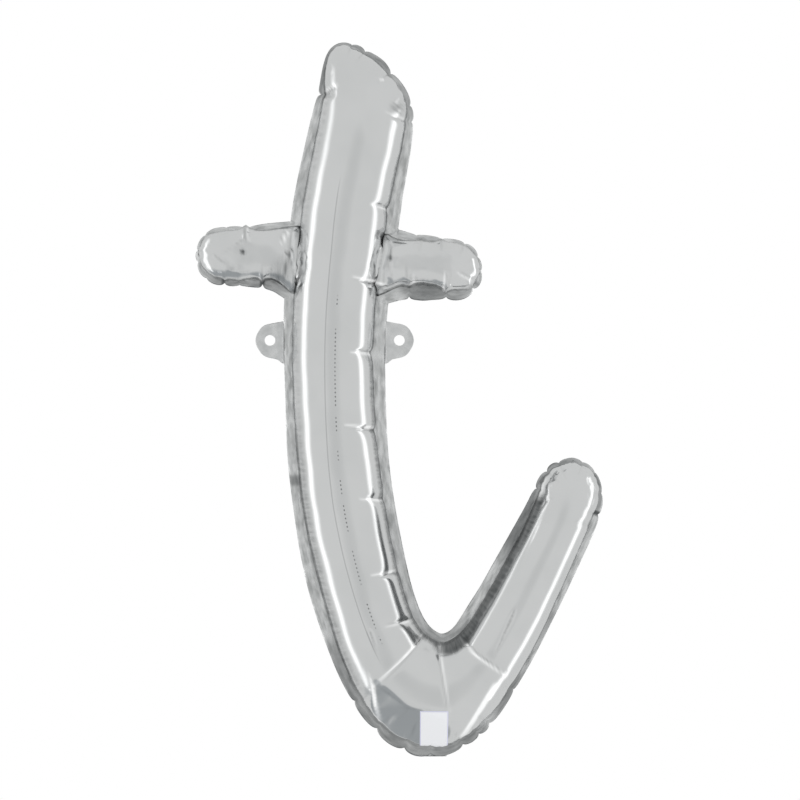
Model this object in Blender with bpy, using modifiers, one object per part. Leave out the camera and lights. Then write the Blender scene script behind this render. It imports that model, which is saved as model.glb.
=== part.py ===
"""Foil balloon in the shape of a script letter t: two welded films, their seam, two tabs and a filling neck.

Metres, +Z up, front towards -Y. The seam lies in the plane y = 0, and the origin is midway between the holes of
the two hanging tabs. The tables below are in millimetres.
"""

import math

import bmesh
import bpy
import numpy as np
from mathutils import Matrix

MM = 0.001

# Walls: the films and the seam are thicker than real film, so that they are solid pieces.
FILM_WALL = 2.4 * MM
SEAM_THICKNESS = 1.2 * MM
SEAM_INSIDE_EDGE = 3.2 * MM
GAP = 0.3 * MM

# Round sections: points round a tube, and smooth steps between two rows of a table.
AROUND = 24
STEM_STEPS = 2
CROSSBAR_STEPS = 1
SEAM_STEPS = 3
FINE_STEPS = 12

# Gathers: how far the seam's edge waves in and out where the film is drawn together, and how long a wave is.
GATHER_DEPTH = 1.3 * MM
GATHER_LENGTH = 15.0 * MM

# Hanging tabs: a flap on each side of the stem, folding on an upright line beside the seam.
TAB_FOLD_X = 43.2 * MM
TAB_HOLE_X = 54.4 * MM
TAB_HOLE_DIAMETER = 9.0 * MM
TAB_TOP = 16.0 * MM
TAB_BOTTOM = -20.0 * MM
TAB_CORNERS = (  # out from the fold line, height, corner radius
    (0.0, 16.0, 0.0),
    (17.8, 12.6, 12.0),
    (25.3, -0.5, 13.0),
    (17.0, -13.5, 12.0),
    (5.0, -16.0, 5.0),
    (0.0, -20.0, 0.0),
)

# Filling neck: a flat sleeve that folds up behind the bottom bend, along an arc round that bend.
NECK_X = 82.0 * MM
NECK_WIDTH = 24.0 * MM
NECK_THICKNESS = 2.2 * MM
NECK_FOLD_Z = -349.2 * MM
NECK_ARC_CENTRE_Z = -298.5 * MM
NECK_ARC_DEPTH = 44.5 * MM
NECK_ARC_END = math.radians(62)
SLEEVE_SLOT_WIDTH = 19.0 * MM
SLEEVE_SLOT_THICKNESS = 1.1 * MM
SLEEVE_SLOT_START = math.radians(12)
VALVE_WIDTH = 15.0 * MM
VALVE_THICKNESS = 0.5 * MM
VALVE_START = math.radians(20)
VALVE_END = math.radians(66)

# The tube of stem, bowl and tail, from its top end round to the tail's end. Each row is one cross-section:
# the seam on the outer side (x, z), the seam on the inner side (x, z), half the depth front to back,
# the width of the seam's edge on the outer and on the inner side, and how much the film is gathered there.
STEM_SECTIONS = (
    # outer_x, outer_z, inner_x, inner_z, depth, outer_edge, inner_edge, gather
    (36.8, 228.5, 36.8, 228.5, 0.0, 7.0, 7.0, 1.0),
    (17.5, 243.0, 52.3, 209.5, 14.0, 7.0, 7.0, 1.0),
    (3.0, 245.0, 57.9, 197.0, 21.0, 5.5, 7.0, 1.0),
    (-4.7, 232.1, 59.6, 185.0, 26.5, 4.0, 6.5, 0.5),
    (-8.1, 211.9, 59.1, 173.3, 31.0, 4.5, 6.5, 0.0),
    (-12.3, 188.4, 56.2, 159.0, 33.5, 7.0, 7.5, 0.0),
    (-18.1, 161.5, 52.0, 141.4, 34.5, 7.2, 8.8, 0.0),
    (-24.0, 133.0, 47.8, 121.2, 35.0, 7.7, 9.3, 0.0),
    (-28.2, 105.3, 44.0, 99.4, 35.0, 8.4, 10.3, 0.0),
    (-31.6, 71.7, 39.8, 69.1, 34.5, 8.0, 9.5, 0.0),
    (-34.5, 35.5, 34.8, 35.5, 34.0, 8.0, 10.5, 0.0),
    (-36.2, -3.9, 32.3, -4.0, 33.5, 7.0, 10.0, 0.0),
    (-34.9, -50.1, 33.1, -50.1, 33.5, 6.2, 9.8, 0.0),
    (-32.0, -96.3, 36.5, -93.8, 33.5, 8.2, 8.2, 0.0),
    (-27.8, -138.3, 41.5, -133.3, 33.5, 7.2, 8.0, 0.0),
    (-20.7, -176.1, 48.2, -169.4, 33.5, 8.8, 8.0, 0.0),
    (-11.4, -213.1, 56.3, -204.7, 34.0, 9.8, 7.4, 0.0),
    (-0.5, -249.2, 65.2, -231.6, 35.0, 8.4, 7.4, 0.0),
    (13.8, -287.9, 74.3, -245.9, 37.0, 7.5, 7.5, 0.3),
    (35.6, -320.6, 82.0, -252.0, 39.0, 6.8, 8.0, 1.0),
    (59.1, -336.6, 87.0, -254.2, 40.0, 9.0, 8.0, 1.0),
    (81.8, -342.5, 91.0, -254.5, 40.5, 8.0, 8.0, 0.5),
    (103.7, -337.4, 95.5, -253.6, 40.0, 6.2, 8.0, 1.0),
    (124.7, -321.5, 101.5, -250.6, 38.5, 6.6, 8.0, 1.0),
    (144.8, -296.3, 108.5, -243.6, 36.0, 4.0, 8.0, 0.3),
    (161.6, -268.6, 116.8, -230.8, 33.0, 4.0, 8.5, 0.0),
    (175.9, -240.8, 127.2, -213.1, 30.0, 3.8, 7.5, 0.0),
    (188.5, -214.0, 139.8, -191.3, 28.0, 4.5, 7.8, 0.0),
    (201.1, -186.2, 153.2, -166.9, 27.0, 4.8, 7.5, 0.0),
    (212.0, -160.2, 165.0, -143.4, 26.0, 5.8, 6.2, 0.0),
    (219.0, -138.4, 173.0, -124.5, 23.5, 6.5, 5.0, 0.5),
    (217.3, -120.7, 180.5, -113.8, 18.0, 6.0, 6.0, 1.0),
    (211.0, -110.3, 189.5, -107.6, 11.0, 6.5, 6.5, 1.0),
    (200.2, -105.6, 200.2, -105.6, 0.0, 7.0, 7.0, 1.0),
)

# The crossbar, from the left arm's tip through the stem to the right arm's tip, with the same columns:
# here the outer side is the top edge and the inner side is the bottom edge.
CROSSBAR_SECTIONS = (
    # top_x, top_z, bottom_x, bottom_z, depth, top_edge, bottom_edge, gather
    (-110.5, 74.2, -110.5, 74.2, 0.0, 6.5, 6.5, 1.0),
    (-106.3, 83.4, -106.3, 62.4, 9.0, 6.0, 9.0, 1.0),
    (-100.5, 87.0, -99.6, 56.8, 14.0, 7.0, 9.5, 1.0),
    (-89.5, 88.5, -88.8, 55.3, 17.5, 7.0, 9.5, 1.0),
    (-75.3, 88.9, -74.4, 54.9, 19.0, 6.0, 9.0, 1.0),
    (-61.0, 91.8, -59.3, 53.2, 20.0, 6.0, 9.5, 0.0),
    (-47.5, 93.1, -46.7, 49.0, 19.5, 6.0, 9.0, 0.0),
    (-35.8, 93.5, -37.5, 41.4, 15.5, 6.5, 8.0, 0.0),
    (-16.5, 93.5, -19.0, 34.7, 15.5, 6.5, 8.0, 0.0),
    (21.3, 91.0, 19.7, 34.7, 15.5, 6.5, 8.0, 0.0),
    (40.7, 87.6, 38.1, 39.7, 15.5, 6.5, 10.5, 0.0),
    (53.3, 84.3, 52.4, 45.6, 18.5, 9.0, 12.0, 0.0),
    (66.7, 81.7, 65.9, 49.3, 18.5, 7.2, 15.0, 0.5),
    (80.1, 80.5, 80.1, 49.0, 18.0, 7.2, 15.0, 0.5),
    (93.6, 79.2, 93.6, 46.5, 17.5, 6.0, 12.3, 1.0),
    (105.3, 76.7, 106.0, 46.0, 15.0, 7.0, 11.2, 1.0),
    (113.7, 70.8, 114.2, 51.0, 10.0, 7.0, 9.0, 1.0),
    (117.9, 60.7, 117.9, 60.7, 0.0, 6.0, 6.0, 1.0),
)

# Cross creases on the inner side of the bend, where the film is drawn in: place on the inner seam, and depth.
CREASES = (
    # x, z, depth
    (58.0, 183.5, 1.8),
    (45.7, 110.5, 1.5),
    (32.8, -10.0, 2.2),
    (33.5, -75.0, 2.2),
    (39.5, -132.0, 1.8),
    (49.0, -194.6, 2.0),
    (59.5, -233.0, 1.8),
)
CREASE_HALF_WIDTH = 4.5 * MM
CREASE_REACH = 0.35
OUTER_X, OUTER_Z, INNER_X, INNER_Z, DEPTH, OUTER_EDGE, INNER_EDGE, GATHER, CREASE = range(9)

# Flat places where the film is stretched round the bottom bend: a plane through (x, z) at a height, and its slopes.
FACETS = (
    # x, z, height, slope_x, slope_z
    (80.0, -309.5, 38.8, 0.28, 0.82),
    (60.0, -276.0, 39.4, 0.05, -0.03),
    (112.0, -276.0, 38.4, -0.06, -0.03),
)
BEND_TOP_Z = -200.0 * MM

# Finishes: colour, roughness, metallic.
FILM_FRONT = ((0.78, 0.78, 0.79), 0.12, 1.0)
FILM_BACK = ((0.76, 0.76, 0.77), 0.14, 1.0)
SEAM_FILM = ((0.66, 0.67, 0.68), 0.30, 1.0)
TAB_FILM = ((0.70, 0.71, 0.72), 0.25, 1.0)
NECK_FILM = ((0.72, 0.73, 0.74), 0.28, 1.0)
VALVE_FILM = ((0.82, 0.85, 0.86), 0.35, 0.0)


def clear_scene():
    for obj in list(bpy.data.objects):
        bpy.data.objects.remove(obj, do_unlink=True)


def new_collection(name):
    collection = bpy.data.collections.new(name)
    bpy.context.scene.collection.children.link(collection)
    return collection


def new_object(name, mesh, collection):
    obj = bpy.data.objects.new(name, mesh)
    collection.objects.link(obj)
    return obj


def make_cutter(obj):
    """A cutter shows as wire and is left out of a render."""
    obj.hide_render = True
    obj.display_type = "WIRE"
    return obj


def finish_with(obj, finish):
    colour, roughness, metallic = finish
    material = bpy.data.materials.new(obj.name)
    material.use_nodes = True
    shader = material.node_tree.nodes["Principled BSDF"]
    shader.inputs["Base Color"].default_value = (*colour, 1.0)
    shader.inputs["Roughness"].default_value = roughness
    shader.inputs["Metallic"].default_value = metallic
    obj.data.materials.clear()
    obj.data.materials.append(material)


def smooth_rows(rows, steps):
    """The table in metres with steps - 1 rows added between each two, on a Catmull-Rom curve through them."""
    known = np.array(rows, dtype=float)
    known[:, :7] *= MM
    before = np.vstack([known[:1], known[:-2]])
    after = np.vstack([known[2:], known[-1:]])
    start, end = known[:-1], known[1:]
    parts = []
    for step in range(steps):
        t = step / steps
        parts.append(
            0.5
            * (
                2 * start
                + (end - before) * t
                + (2 * before - 5 * start + 4 * end - after) * t**2
                + (3 * start - before - 3 * end + after) * t**3
            )
        )
    between = np.stack(parts, axis=1).reshape(-1, known.shape[1])
    return np.vstack([between, known[-1:]])


def distances(line):
    """Distance from a line's first point to each of its points."""
    return np.concatenate([[0.0], np.cumsum(np.linalg.norm(np.diff(line, axis=0), axis=1))])


def creased(rows, fine):
    """The rows with three at each crease, on it and beside it, read from a finer table of the same tube. A last
    column holds the crease's depth."""
    inner = distances(fine[:, [INNER_X, INNER_Z]])
    stops = np.array([
        inner[np.linalg.norm(fine[:, [INNER_X, INNER_Z]] - np.array((x, z)) * MM, axis=1).argmin()]
        for x, z, _ in CREASES
    ])
    known = np.interp(np.arange(len(rows)), np.linspace(0, len(rows) - 1, len(fine)), inner)
    clear = np.abs(known[:, None] - stops[None]).min(axis=1) > 2 * CREASE_HALF_WIDTH
    beside = np.concatenate([stops - CREASE_HALF_WIDTH, stops + CREASE_HALF_WIDTH])
    place = np.concatenate([known[clear], beside, stops])
    depth = np.concatenate([np.zeros(clear.sum() + len(beside)), [depth * MM for _, _, depth in CREASES]])
    order = np.argsort(place, kind="stable")
    columns = [np.interp(place[order], inner, column) for column in fine.T]
    return np.column_stack([*columns, depth[order]])


def faceted(flat, height):
    """The heights round the bottom bend, cut down by the planes of its flat places."""
    for x, z, middle, slope_x, slope_z in FACETS:
        plane = middle * MM + slope_x * (flat[..., 0] - x * MM) + slope_z * (flat[..., 1] - z * MM)
        height = np.where(flat[..., 1] < BEND_TOP_Z, np.minimum(height, np.maximum(plane, 0)), height)
    return height


def tube_surface(rows):
    """Rings of an ellipse through both seam points and the depth, one for each row but the first and last. At a
    crease the inner side of the ring is drawn in."""
    angle = np.linspace(0, 2 * math.pi, AROUND, endpoint=False)
    outer, inner = rows[1:-1, None, [OUTER_X, OUTER_Z]], rows[1:-1, None, [INNER_X, INNER_Z]]
    across = (outer - inner) / 2 * np.cos(angle)[None, :, None]
    height = rows[1:-1, None, DEPTH] * np.abs(np.sin(angle))[None, :]
    if rows.shape[1] > CREASE:
        near = np.clip((-np.cos(angle) - CREASE_REACH) / (1 - CREASE_REACH), 0, 1) ** 0.5
        kept = 1 - rows[1:-1, CREASE, None] * near[None, :] / rows[1:-1, DEPTH, None]
        across, height = across * kept[..., None], height * kept
    flat = (outer + inner) / 2 + across
    height = faceted(flat, height)
    return np.stack([flat[..., 0], -np.sign(np.sin(angle)) * height, flat[..., 1]], axis=-1)


def tube_mesh(name, rows):
    """A closed tube: rings joined by quads, and a point at each end."""
    rings = tube_surface(rows)
    shape = bmesh.new()
    first = shape.verts.new((rows[0, 0], 0, rows[0, 1]))
    last = shape.verts.new((rows[-1, 0], 0, rows[-1, 1]))
    loops = [[shape.verts.new(point) for point in ring] for ring in rings]
    for low, high in zip(loops[:-1], loops[1:]):
        for here in range(AROUND):
            after = (here + 1) % AROUND
            shape.faces.new((low[here], low[after], high[after], high[here]))
    for here in range(AROUND):
        after = (here + 1) % AROUND
        shape.faces.new((first, loops[0][after], loops[0][here]))
        shape.faces.new((last, loops[-1][here], loops[-1][after]))
    bmesh.ops.recalc_face_normals(shape, faces=shape.faces)
    mesh = bpy.data.meshes.new(name)
    shape.to_mesh(mesh)
    shape.free()
    mesh.shade_smooth()
    return mesh


def grown(name, mesh, amount, collection):
    """A cutter: the same tube with its surface moved out by the amount, or in where it is negative."""
    obj = make_cutter(new_object(name, mesh, collection))
    push = obj.modifiers.new("move_surface", "DISPLACE")
    push.direction = "NORMAL"
    push.mid_level = 0.0
    push.strength = amount
    return obj


def boolean(obj, operation, other):
    step = obj.modifiers.new(f"{operation.lower()}_{other.name}", "BOOLEAN")
    step.operation = operation
    step.solver = "EXACT"
    step.object = other


def box(name, low, high, collection):
    shape = bmesh.new()
    size = [b - a for a, b in zip(low, high)]
    middle = [(a + b) / 2 for a, b in zip(low, high)]
    place = Matrix.Translation(middle) @ Matrix.Diagonal((*size, 1.0))
    bmesh.ops.create_cube(shape, size=1.0, matrix=place)
    mesh = bpy.data.meshes.new(name)
    shape.to_mesh(mesh)
    shape.free()
    return new_object(name, mesh, collection)


def rod(name, centre, radius, length, axis, collection):
    """A cylinder along X, Y or Z."""
    turn = {
        "X": Matrix.Rotation(math.pi / 2, 4, "Y"),
        "Y": Matrix.Rotation(math.pi / 2, 4, "X"),
        "Z": Matrix.Identity(4),
    }[axis]
    shape = bmesh.new()
    bmesh.ops.create_cone(
        shape,
        cap_ends=True,
        segments=24,
        radius1=radius,
        radius2=radius,
        depth=length,
        matrix=Matrix.Translation(centre) @ turn,
    )
    mesh = bpy.data.meshes.new(name)
    shape.to_mesh(mesh)
    shape.free()
    return new_object(name, mesh, collection)


def rounded(corners):
    """A closed outline through the corners, each cut back by an arc of its radius."""
    points = []
    count = len(corners)
    for index, (x, z, radius) in enumerate(corners):
        corner = np.array((x, z))
        if radius == 0:
            points.append(corner)
            continue
        to_last = np.array(corners[index - 1][:2]) - corner
        to_next = np.array(corners[(index + 1) % count][:2]) - corner
        to_last /= np.linalg.norm(to_last)
        to_next /= np.linalg.norm(to_next)
        half = math.acos(float(np.clip(to_last @ to_next, -1, 1))) / 2
        start = corner + to_last * radius / math.tan(half)
        end = corner + to_next * radius / math.tan(half)
        for share in (0.0, 0.25, 0.5, 0.75, 1.0):
            straight = start * (1 - share) ** 2 + end * share**2
            points.append(straight + corner * 2 * share * (1 - share))
    return np.array(points)


def flat_plate(name, outline, thickness, collection):
    """A flat outline in the plane y = 0 with its thickness half to each side, as a welded mesh."""
    curve = bpy.data.curves.new(name, "CURVE")
    curve.dimensions = "2D"
    curve.fill_mode = "BOTH"
    curve.extrude = thickness / 2
    spline = curve.splines.new("POLY")
    spline.points.add(len(outline) - 1)
    for point, (x, z) in zip(spline.points, outline):
        point.co = (x, z, 0, 1)
    spline.use_cyclic_u = True
    drawn = new_object(name, curve, collection)
    drawn.matrix_world = Matrix.Rotation(math.pi / 2, 4, "X")
    bpy.context.view_layer.update()
    graph = bpy.context.evaluated_depsgraph_get()
    mesh = bpy.data.meshes.new_from_object(drawn.evaluated_get(graph))
    shape = bmesh.new()
    shape.from_mesh(mesh)
    bmesh.ops.remove_doubles(shape, verts=shape.verts, dist=1e-6)
    bmesh.ops.recalc_face_normals(shape, faces=shape.faces)
    shape.to_mesh(mesh)
    shape.free()
    place = drawn.matrix_world.copy()
    bpy.data.objects.remove(drawn, do_unlink=True)
    plate = new_object(name, mesh, collection)
    plate.matrix_world = place
    return plate


def seam_loop(rows, edge_share, inset):
    """The closed seam line of a tube, moved outwards by its edge width times edge_share and inwards by inset."""
    line = np.vstack([rows[:-1, 0:2], rows[:0:-1, 2:4]])
    edge = np.concatenate([rows[:-1, 5], rows[:0:-1, 6]])
    gather = np.concatenate([rows[:-1, 7], rows[:0:-1, 7]])
    ahead = np.roll(line, -1, axis=0) - np.roll(line, 1, axis=0)
    length = np.linalg.norm(ahead, axis=1, keepdims=True)
    away = np.stack([-ahead[:, 1], ahead[:, 0]], axis=1) / length
    area = np.sum(line[:, 0] * np.roll(line[:, 1], -1) - np.roll(line[:, 0], -1) * line[:, 1])
    if area > 0:
        away = -away
    along = np.cumsum(np.linalg.norm(line - np.roll(line, 1, axis=0), axis=1))
    wave = np.cos(along / GATHER_LENGTH * 2 * math.pi) * gather * GATHER_DEPTH
    return line + away * ((edge + wave) * edge_share - inset)[:, None]


def make_film(name, half, tubes, holes, slab, parts, finish):
    """One film: stem and crossbar joined, hollowed, and cut off at the seam."""
    film = new_object(name, tubes[0].data.copy(), parts)
    boolean(film, "UNION", tubes[1])
    for hole in holes:
        boolean(film, "DIFFERENCE", hole)
    boolean(film, "DIFFERENCE", slab[half])
    finish_with(film, finish)
    return film


def make_films(parts, cutters):
    stem = creased(smooth_rows(STEM_SECTIONS, STEM_STEPS), smooth_rows(STEM_SECTIONS, FINE_STEPS))
    stem_mesh = tube_mesh("stem_tube", stem)
    crossbar_mesh = tube_mesh("crossbar_tube", smooth_rows(CROSSBAR_SECTIONS, CROSSBAR_STEPS))
    tubes = (
        make_cutter(new_object("stem_tube", stem_mesh, cutters)),
        make_cutter(new_object("crossbar_tube", crossbar_mesh, cutters)),
    )
    holes = (
        grown("stem_hollow", stem_mesh.copy(), -FILM_WALL, cutters),
        grown("crossbar_hollow", crossbar_mesh.copy(), -FILM_WALL, cutters),
    )
    reach = 1.0
    rim = SEAM_THICKNESS / 2 + GAP
    slabs = {
        "front": box("behind_front_film", (-reach, -rim, -reach), (reach, reach, reach), cutters),
        "back": box("before_back_film", (-reach, -reach, -reach), (reach, rim, reach), cutters),
    }
    for slab in slabs.values():
        make_cutter(slab)
    make_film("front_film", "front", tubes, holes, slabs, parts, FILM_FRONT)
    make_film("back_film", "back", tubes, holes, slabs, parts, FILM_BACK)


def make_seam(parts, cutters):
    """The welded edge: a flat band all round the letter, cut straight where the tabs and the neck fold."""
    stem = seam_loop(smooth_rows(STEM_SECTIONS, SEAM_STEPS), 1.0, 0.0)
    crossbar = seam_loop(smooth_rows(CROSSBAR_SECTIONS, SEAM_STEPS), 1.0, 0.0)
    seam = flat_plate("seam_flange", stem, SEAM_THICKNESS, parts)
    bar = flat_plate("crossbar_plate", crossbar, SEAM_THICKNESS, cutters)
    boolean(seam, "UNION", make_cutter(bar))
    for name, table, steps in (
        ("stem_inside", STEM_SECTIONS, STEM_STEPS),
        ("crossbar_inside", CROSSBAR_SECTIONS, CROSSBAR_STEPS),
    ):
        line = seam_loop(smooth_rows(table, steps), 0.0, SEAM_INSIDE_EDGE)
        inside = flat_plate(name, line, 4 * SEAM_THICKNESS, cutters)
        boolean(seam, "DIFFERENCE", make_cutter(inside))
    edge = TAB_FOLD_X - SEAM_THICKNESS / 2 - GAP
    deep = 10 * SEAM_THICKNESS
    far = 2 * TAB_HOLE_X
    low, high = TAB_BOTTOM - 2 * GAP, TAB_TOP + 2 * GAP
    reliefs = (
        box("left_tab_relief", (-far, -deep, low), (-edge, deep, high), cutters),
        box("right_tab_relief", (edge, -deep, low), (far, deep, high), cutters),
        box(
            "neck_relief",
            (NECK_X - NECK_WIDTH / 2 - 2 * GAP, -deep, 1.1 * NECK_FOLD_Z),
            (NECK_X + NECK_WIDTH / 2 + 2 * GAP, deep, NECK_FOLD_Z + NECK_THICKNESS / 2 + GAP),
            cutters,
        ),
    )
    for relief in reliefs:
        boolean(seam, "DIFFERENCE", make_cutter(relief))
    finish_with(seam, SEAM_FILM)


def make_tab(name, side, parts, cutters):
    """A flap with a punched hole and a round edge on its fold line. side is -1 on the left and 1 on the right."""
    outline = rounded(TAB_CORNERS) * MM
    outline[:, 0] = side * (outline[:, 0] + TAB_FOLD_X)
    tab = flat_plate(name, outline, SEAM_THICKNESS, parts)
    fold = rod(
        f"{name}_fold_edge",
        (side * TAB_FOLD_X, 0, (TAB_TOP + TAB_BOTTOM) / 2),
        SEAM_THICKNESS / 2,
        TAB_TOP - TAB_BOTTOM,
        "Z",
        cutters,
    )
    hole = rod(
        f"{name}_punch",
        (side * TAB_HOLE_X, 0, 0),
        TAB_HOLE_DIAMETER / 2,
        10 * SEAM_THICKNESS,
        "Y",
        cutters,
    )
    boolean(tab, "UNION", make_cutter(fold))
    boolean(tab, "DIFFERENCE", make_cutter(hole))
    finish_with(tab, TAB_FILM)


def neck_strip(name, start, end, width, thickness, collection):
    """A strip along the neck's arc: an ellipse round the bottom bend, from angle start to angle end."""
    angle = np.linspace(start, end, 13)
    depth = NECK_ARC_DEPTH * np.sin(angle)
    height = NECK_ARC_CENTRE_Z + (NECK_FOLD_Z - NECK_ARC_CENTRE_Z) * np.cos(angle)
    shape = bmesh.new()
    sides = [
        [shape.verts.new((x, y, z)) for y, z in zip(depth, height)]
        for x in (NECK_X - width / 2, NECK_X + width / 2)
    ]
    for here in range(len(angle) - 1):
        left, right = sides
        shape.faces.new((left[here], right[here], right[here + 1], left[here + 1]))
    mesh = bpy.data.meshes.new(name)
    shape.to_mesh(mesh)
    shape.free()
    strip = new_object(name, mesh, collection)
    wall = strip.modifiers.new("wall", "SOLIDIFY")
    wall.thickness = thickness
    wall.offset = 0
    return strip


def make_neck(parts, cutters):
    sleeve = neck_strip("inflation_neck", 0.0, NECK_ARC_END, NECK_WIDTH, NECK_THICKNESS, parts)
    fold = rod(
        "neck_fold_edge",
        (NECK_X, 0, NECK_FOLD_Z),
        NECK_THICKNESS / 2,
        NECK_WIDTH,
        "X",
        cutters,
    )
    slot = neck_strip(
        "sleeve_slot",
        SLEEVE_SLOT_START,
        VALVE_END,
        SLEEVE_SLOT_WIDTH,
        SLEEVE_SLOT_THICKNESS,
        cutters,
    )
    boolean(sleeve, "UNION", make_cutter(fold))
    boolean(sleeve, "DIFFERENCE", make_cutter(slot))
    finish_with(sleeve, NECK_FILM)
    valve = neck_strip("valve_film", VALVE_START, VALVE_END, VALVE_WIDTH, VALVE_THICKNESS, parts)
    finish_with(valve, VALVE_FILM)


def main():
    clear_scene()
    parts = new_collection("letter_foil_balloon")
    cutters = new_collection("cutters")
    make_films(parts, cutters)
    make_seam(parts, cutters)
    make_tab("left_hanging_tab", -1, parts, cutters)
    make_tab("right_hanging_tab", 1, parts, cutters)
    make_neck(parts, cutters)


main()
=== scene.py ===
"""The look of a silver foil balloon in the shape of a script letter t.

Two films meet in a welded seam in the plane y = 0 and bulge to the front (-Y) and to the back (+Y). Each
film is one surface over the stem, the bowl, the tail and both arms. Lengths in the tables are in
millimetres, from the frame's origin midway between the holes of the two hanging tabs.
"""

import math

import bpy
import numpy as np
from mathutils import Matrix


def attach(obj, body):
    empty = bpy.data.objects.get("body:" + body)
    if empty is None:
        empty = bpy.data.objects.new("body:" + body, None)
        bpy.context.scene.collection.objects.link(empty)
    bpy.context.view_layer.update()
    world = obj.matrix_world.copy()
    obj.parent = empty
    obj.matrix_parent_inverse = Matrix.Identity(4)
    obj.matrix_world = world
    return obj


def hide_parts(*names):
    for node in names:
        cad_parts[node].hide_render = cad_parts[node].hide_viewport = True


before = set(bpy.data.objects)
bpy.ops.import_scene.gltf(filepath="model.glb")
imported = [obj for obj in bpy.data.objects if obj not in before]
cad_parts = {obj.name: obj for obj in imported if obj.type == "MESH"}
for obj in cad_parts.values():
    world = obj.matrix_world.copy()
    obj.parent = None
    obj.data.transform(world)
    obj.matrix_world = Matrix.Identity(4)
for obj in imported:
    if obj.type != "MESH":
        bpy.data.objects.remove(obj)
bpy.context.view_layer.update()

MM = 0.001

# The view of the photograph: real size of a pixel, and the place of the picture's centre.
PICTURE_PIXELS = 800
METRES_PER_PIXEL = 0.84 * MM
PICTURE_CENTRE_X = 54.9 * MM
PICTURE_CENTRE_Z = -50.1 * MM
LENS_MM = 130.0
SENSOR_MM = 36.0

# The tube of stem, bowl and tail, from its top end round to the tail's end. Each row is one cross-section.
STEM_SECTIONS = (
    # outer_x, outer_z, inner_x, inner_z, depth, outer_edge, inner_edge, gather
    (36.8, 228.5, 36.8, 228.5, 0, 7, 7, 1),
    (17.5, 243, 53.3, 210.5, 14, 6, 5.6, 1),
    (2, 246, 58.6, 197.4, 21, 4.2, 6.2, 1),
    (-6.2, 232.6, 59.6, 185, 26.5, 2.6, 6.5, 0.5),
    (-9.6, 211.9, 59.1, 173.3, 31, 3, 6.5, 0),
    (-12.3, 188.4, 56.2, 159, 33.5, 7, 7.5, 0),
    (-18.1, 161.5, 52, 141.4, 34.5, 7.2, 8.8, 0),
    (-24, 133, 47.8, 121.2, 35, 7.7, 9.3, 0),
    (-28.2, 105.3, 44, 99.4, 35, 8.4, 10.3, 0),
    (-31.6, 71.7, 39.8, 69.1, 34.5, 8, 9.5, 0),
    (-34.5, 35.5, 34.8, 35.5, 34, 8, 10.5, 0),
    (-36.2, -3.9, 32.3, -4, 33.5, 7, 10, 0),
    (-34.9, -50.1, 33.1, -50.1, 33.5, 6.2, 9.8, 0),
    (-32, -96.3, 36.5, -93.8, 33.5, 8.2, 8.2, 0),
    (-27.8, -138.3, 41.5, -133.3, 33.5, 7.2, 8, 0),
    (-20.7, -176.1, 48.2, -169.4, 33.5, 8.8, 8, 0),
    (-11.4, -213.1, 56.3, -204.7, 34, 9.8, 7.4, 0),
    (-0.5, -249.2, 65.2, -231.6, 35, 8.4, 7.4, 0),
    (13.8, -287.9, 74.3, -245.9, 37, 7.5, 7.5, 0.3),
    (35.6, -320.6, 82, -252, 39, 6.8, 8, 1),
    (59.1, -336.6, 87, -254.2, 40, 9, 8, 1),
    (81.8, -342.5, 91, -254.5, 40.5, 8, 8, 0.5),
    (103.7, -337.4, 95.5, -253.6, 40, 6.2, 8, 1),
    (124.7, -321.5, 101.5, -250.6, 38.5, 6.6, 8, 1),
    (144.8, -296.3, 108.5, -243.6, 36, 4, 8, 0.3),
    (161.6, -268.6, 116.8, -230.8, 33, 4, 8.5, 0),
    (175.9, -240.8, 127.2, -213.1, 30, 3.8, 7.5, 0),
    (188.5, -214, 139.8, -191.3, 28, 4.5, 7.8, 0),
    (201.1, -186.2, 153.2, -166.9, 27, 4.8, 7.5, 0),
    (212, -160.2, 165, -143.4, 26, 5.8, 6.2, 0),
    (221, -138, 172.6, -124.3, 23.5, 4.4, 4.6, 0.5),
    (219.6, -119.6, 180, -113, 18, 4, 5.5, 1),
    (212.4, -108.4, 189.2, -106.6, 11, 4.3, 5.7, 1),
    (200.2, -104.3, 200.2, -104.3, 0, 5.7, 5.7, 1),
)

# The crossbar from the left arm's tip to the right arm's tip. Its outer side is the top edge.
CROSSBAR_SECTIONS = (
    # top_x, top_z, bottom_x, bottom_z, depth, top_edge, bottom_edge, gather
    (-110.5, 74.2, -110.5, 74.2, 0, 6.5, 6.5, 1),
    (-106.3, 83.4, -106.3, 62.4, 9, 6, 9, 1),
    (-100.5, 87, -99.6, 56.8, 14, 7, 9.5, 1),
    (-89.5, 88.5, -88.8, 55.3, 17.5, 7, 9.5, 1),
    (-75.3, 88.9, -74.4, 54.9, 19, 6, 9, 1),
    (-61, 91.8, -59.3, 53.2, 20, 6, 9.5, 0),
    (-47.5, 93.1, -46.7, 49, 19.5, 6, 9, 0),
    (-35.8, 93.5, -37.5, 41.4, 15.5, 6.5, 8, 0),
    (-16.5, 93.5, -19, 34.7, 15.5, 6.5, 8, 0),
    (21.3, 91, 19.7, 34.7, 15.5, 6.5, 8, 0),
    (40.7, 87.6, 38.1, 39.7, 15.5, 6.5, 10.5, 0),
    (53.3, 84.3, 52.4, 45.6, 18.5, 9, 12, 0),
    (66.7, 81.7, 65.9, 49.3, 18.5, 7.2, 15, 0.5),
    (80.1, 80.5, 80.1, 49, 18, 7.2, 15, 0.5),
    (93.6, 79.2, 93.6, 46.5, 17.5, 6, 12.3, 1),
    (105.3, 76.7, 106, 46, 15, 7, 11.2, 1),
    (113.7, 70.8, 114.2, 51, 10, 7, 9, 1),
    (117.9, 60.7, 117.9, 60.7, 0, 6, 6, 1),
)
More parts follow.
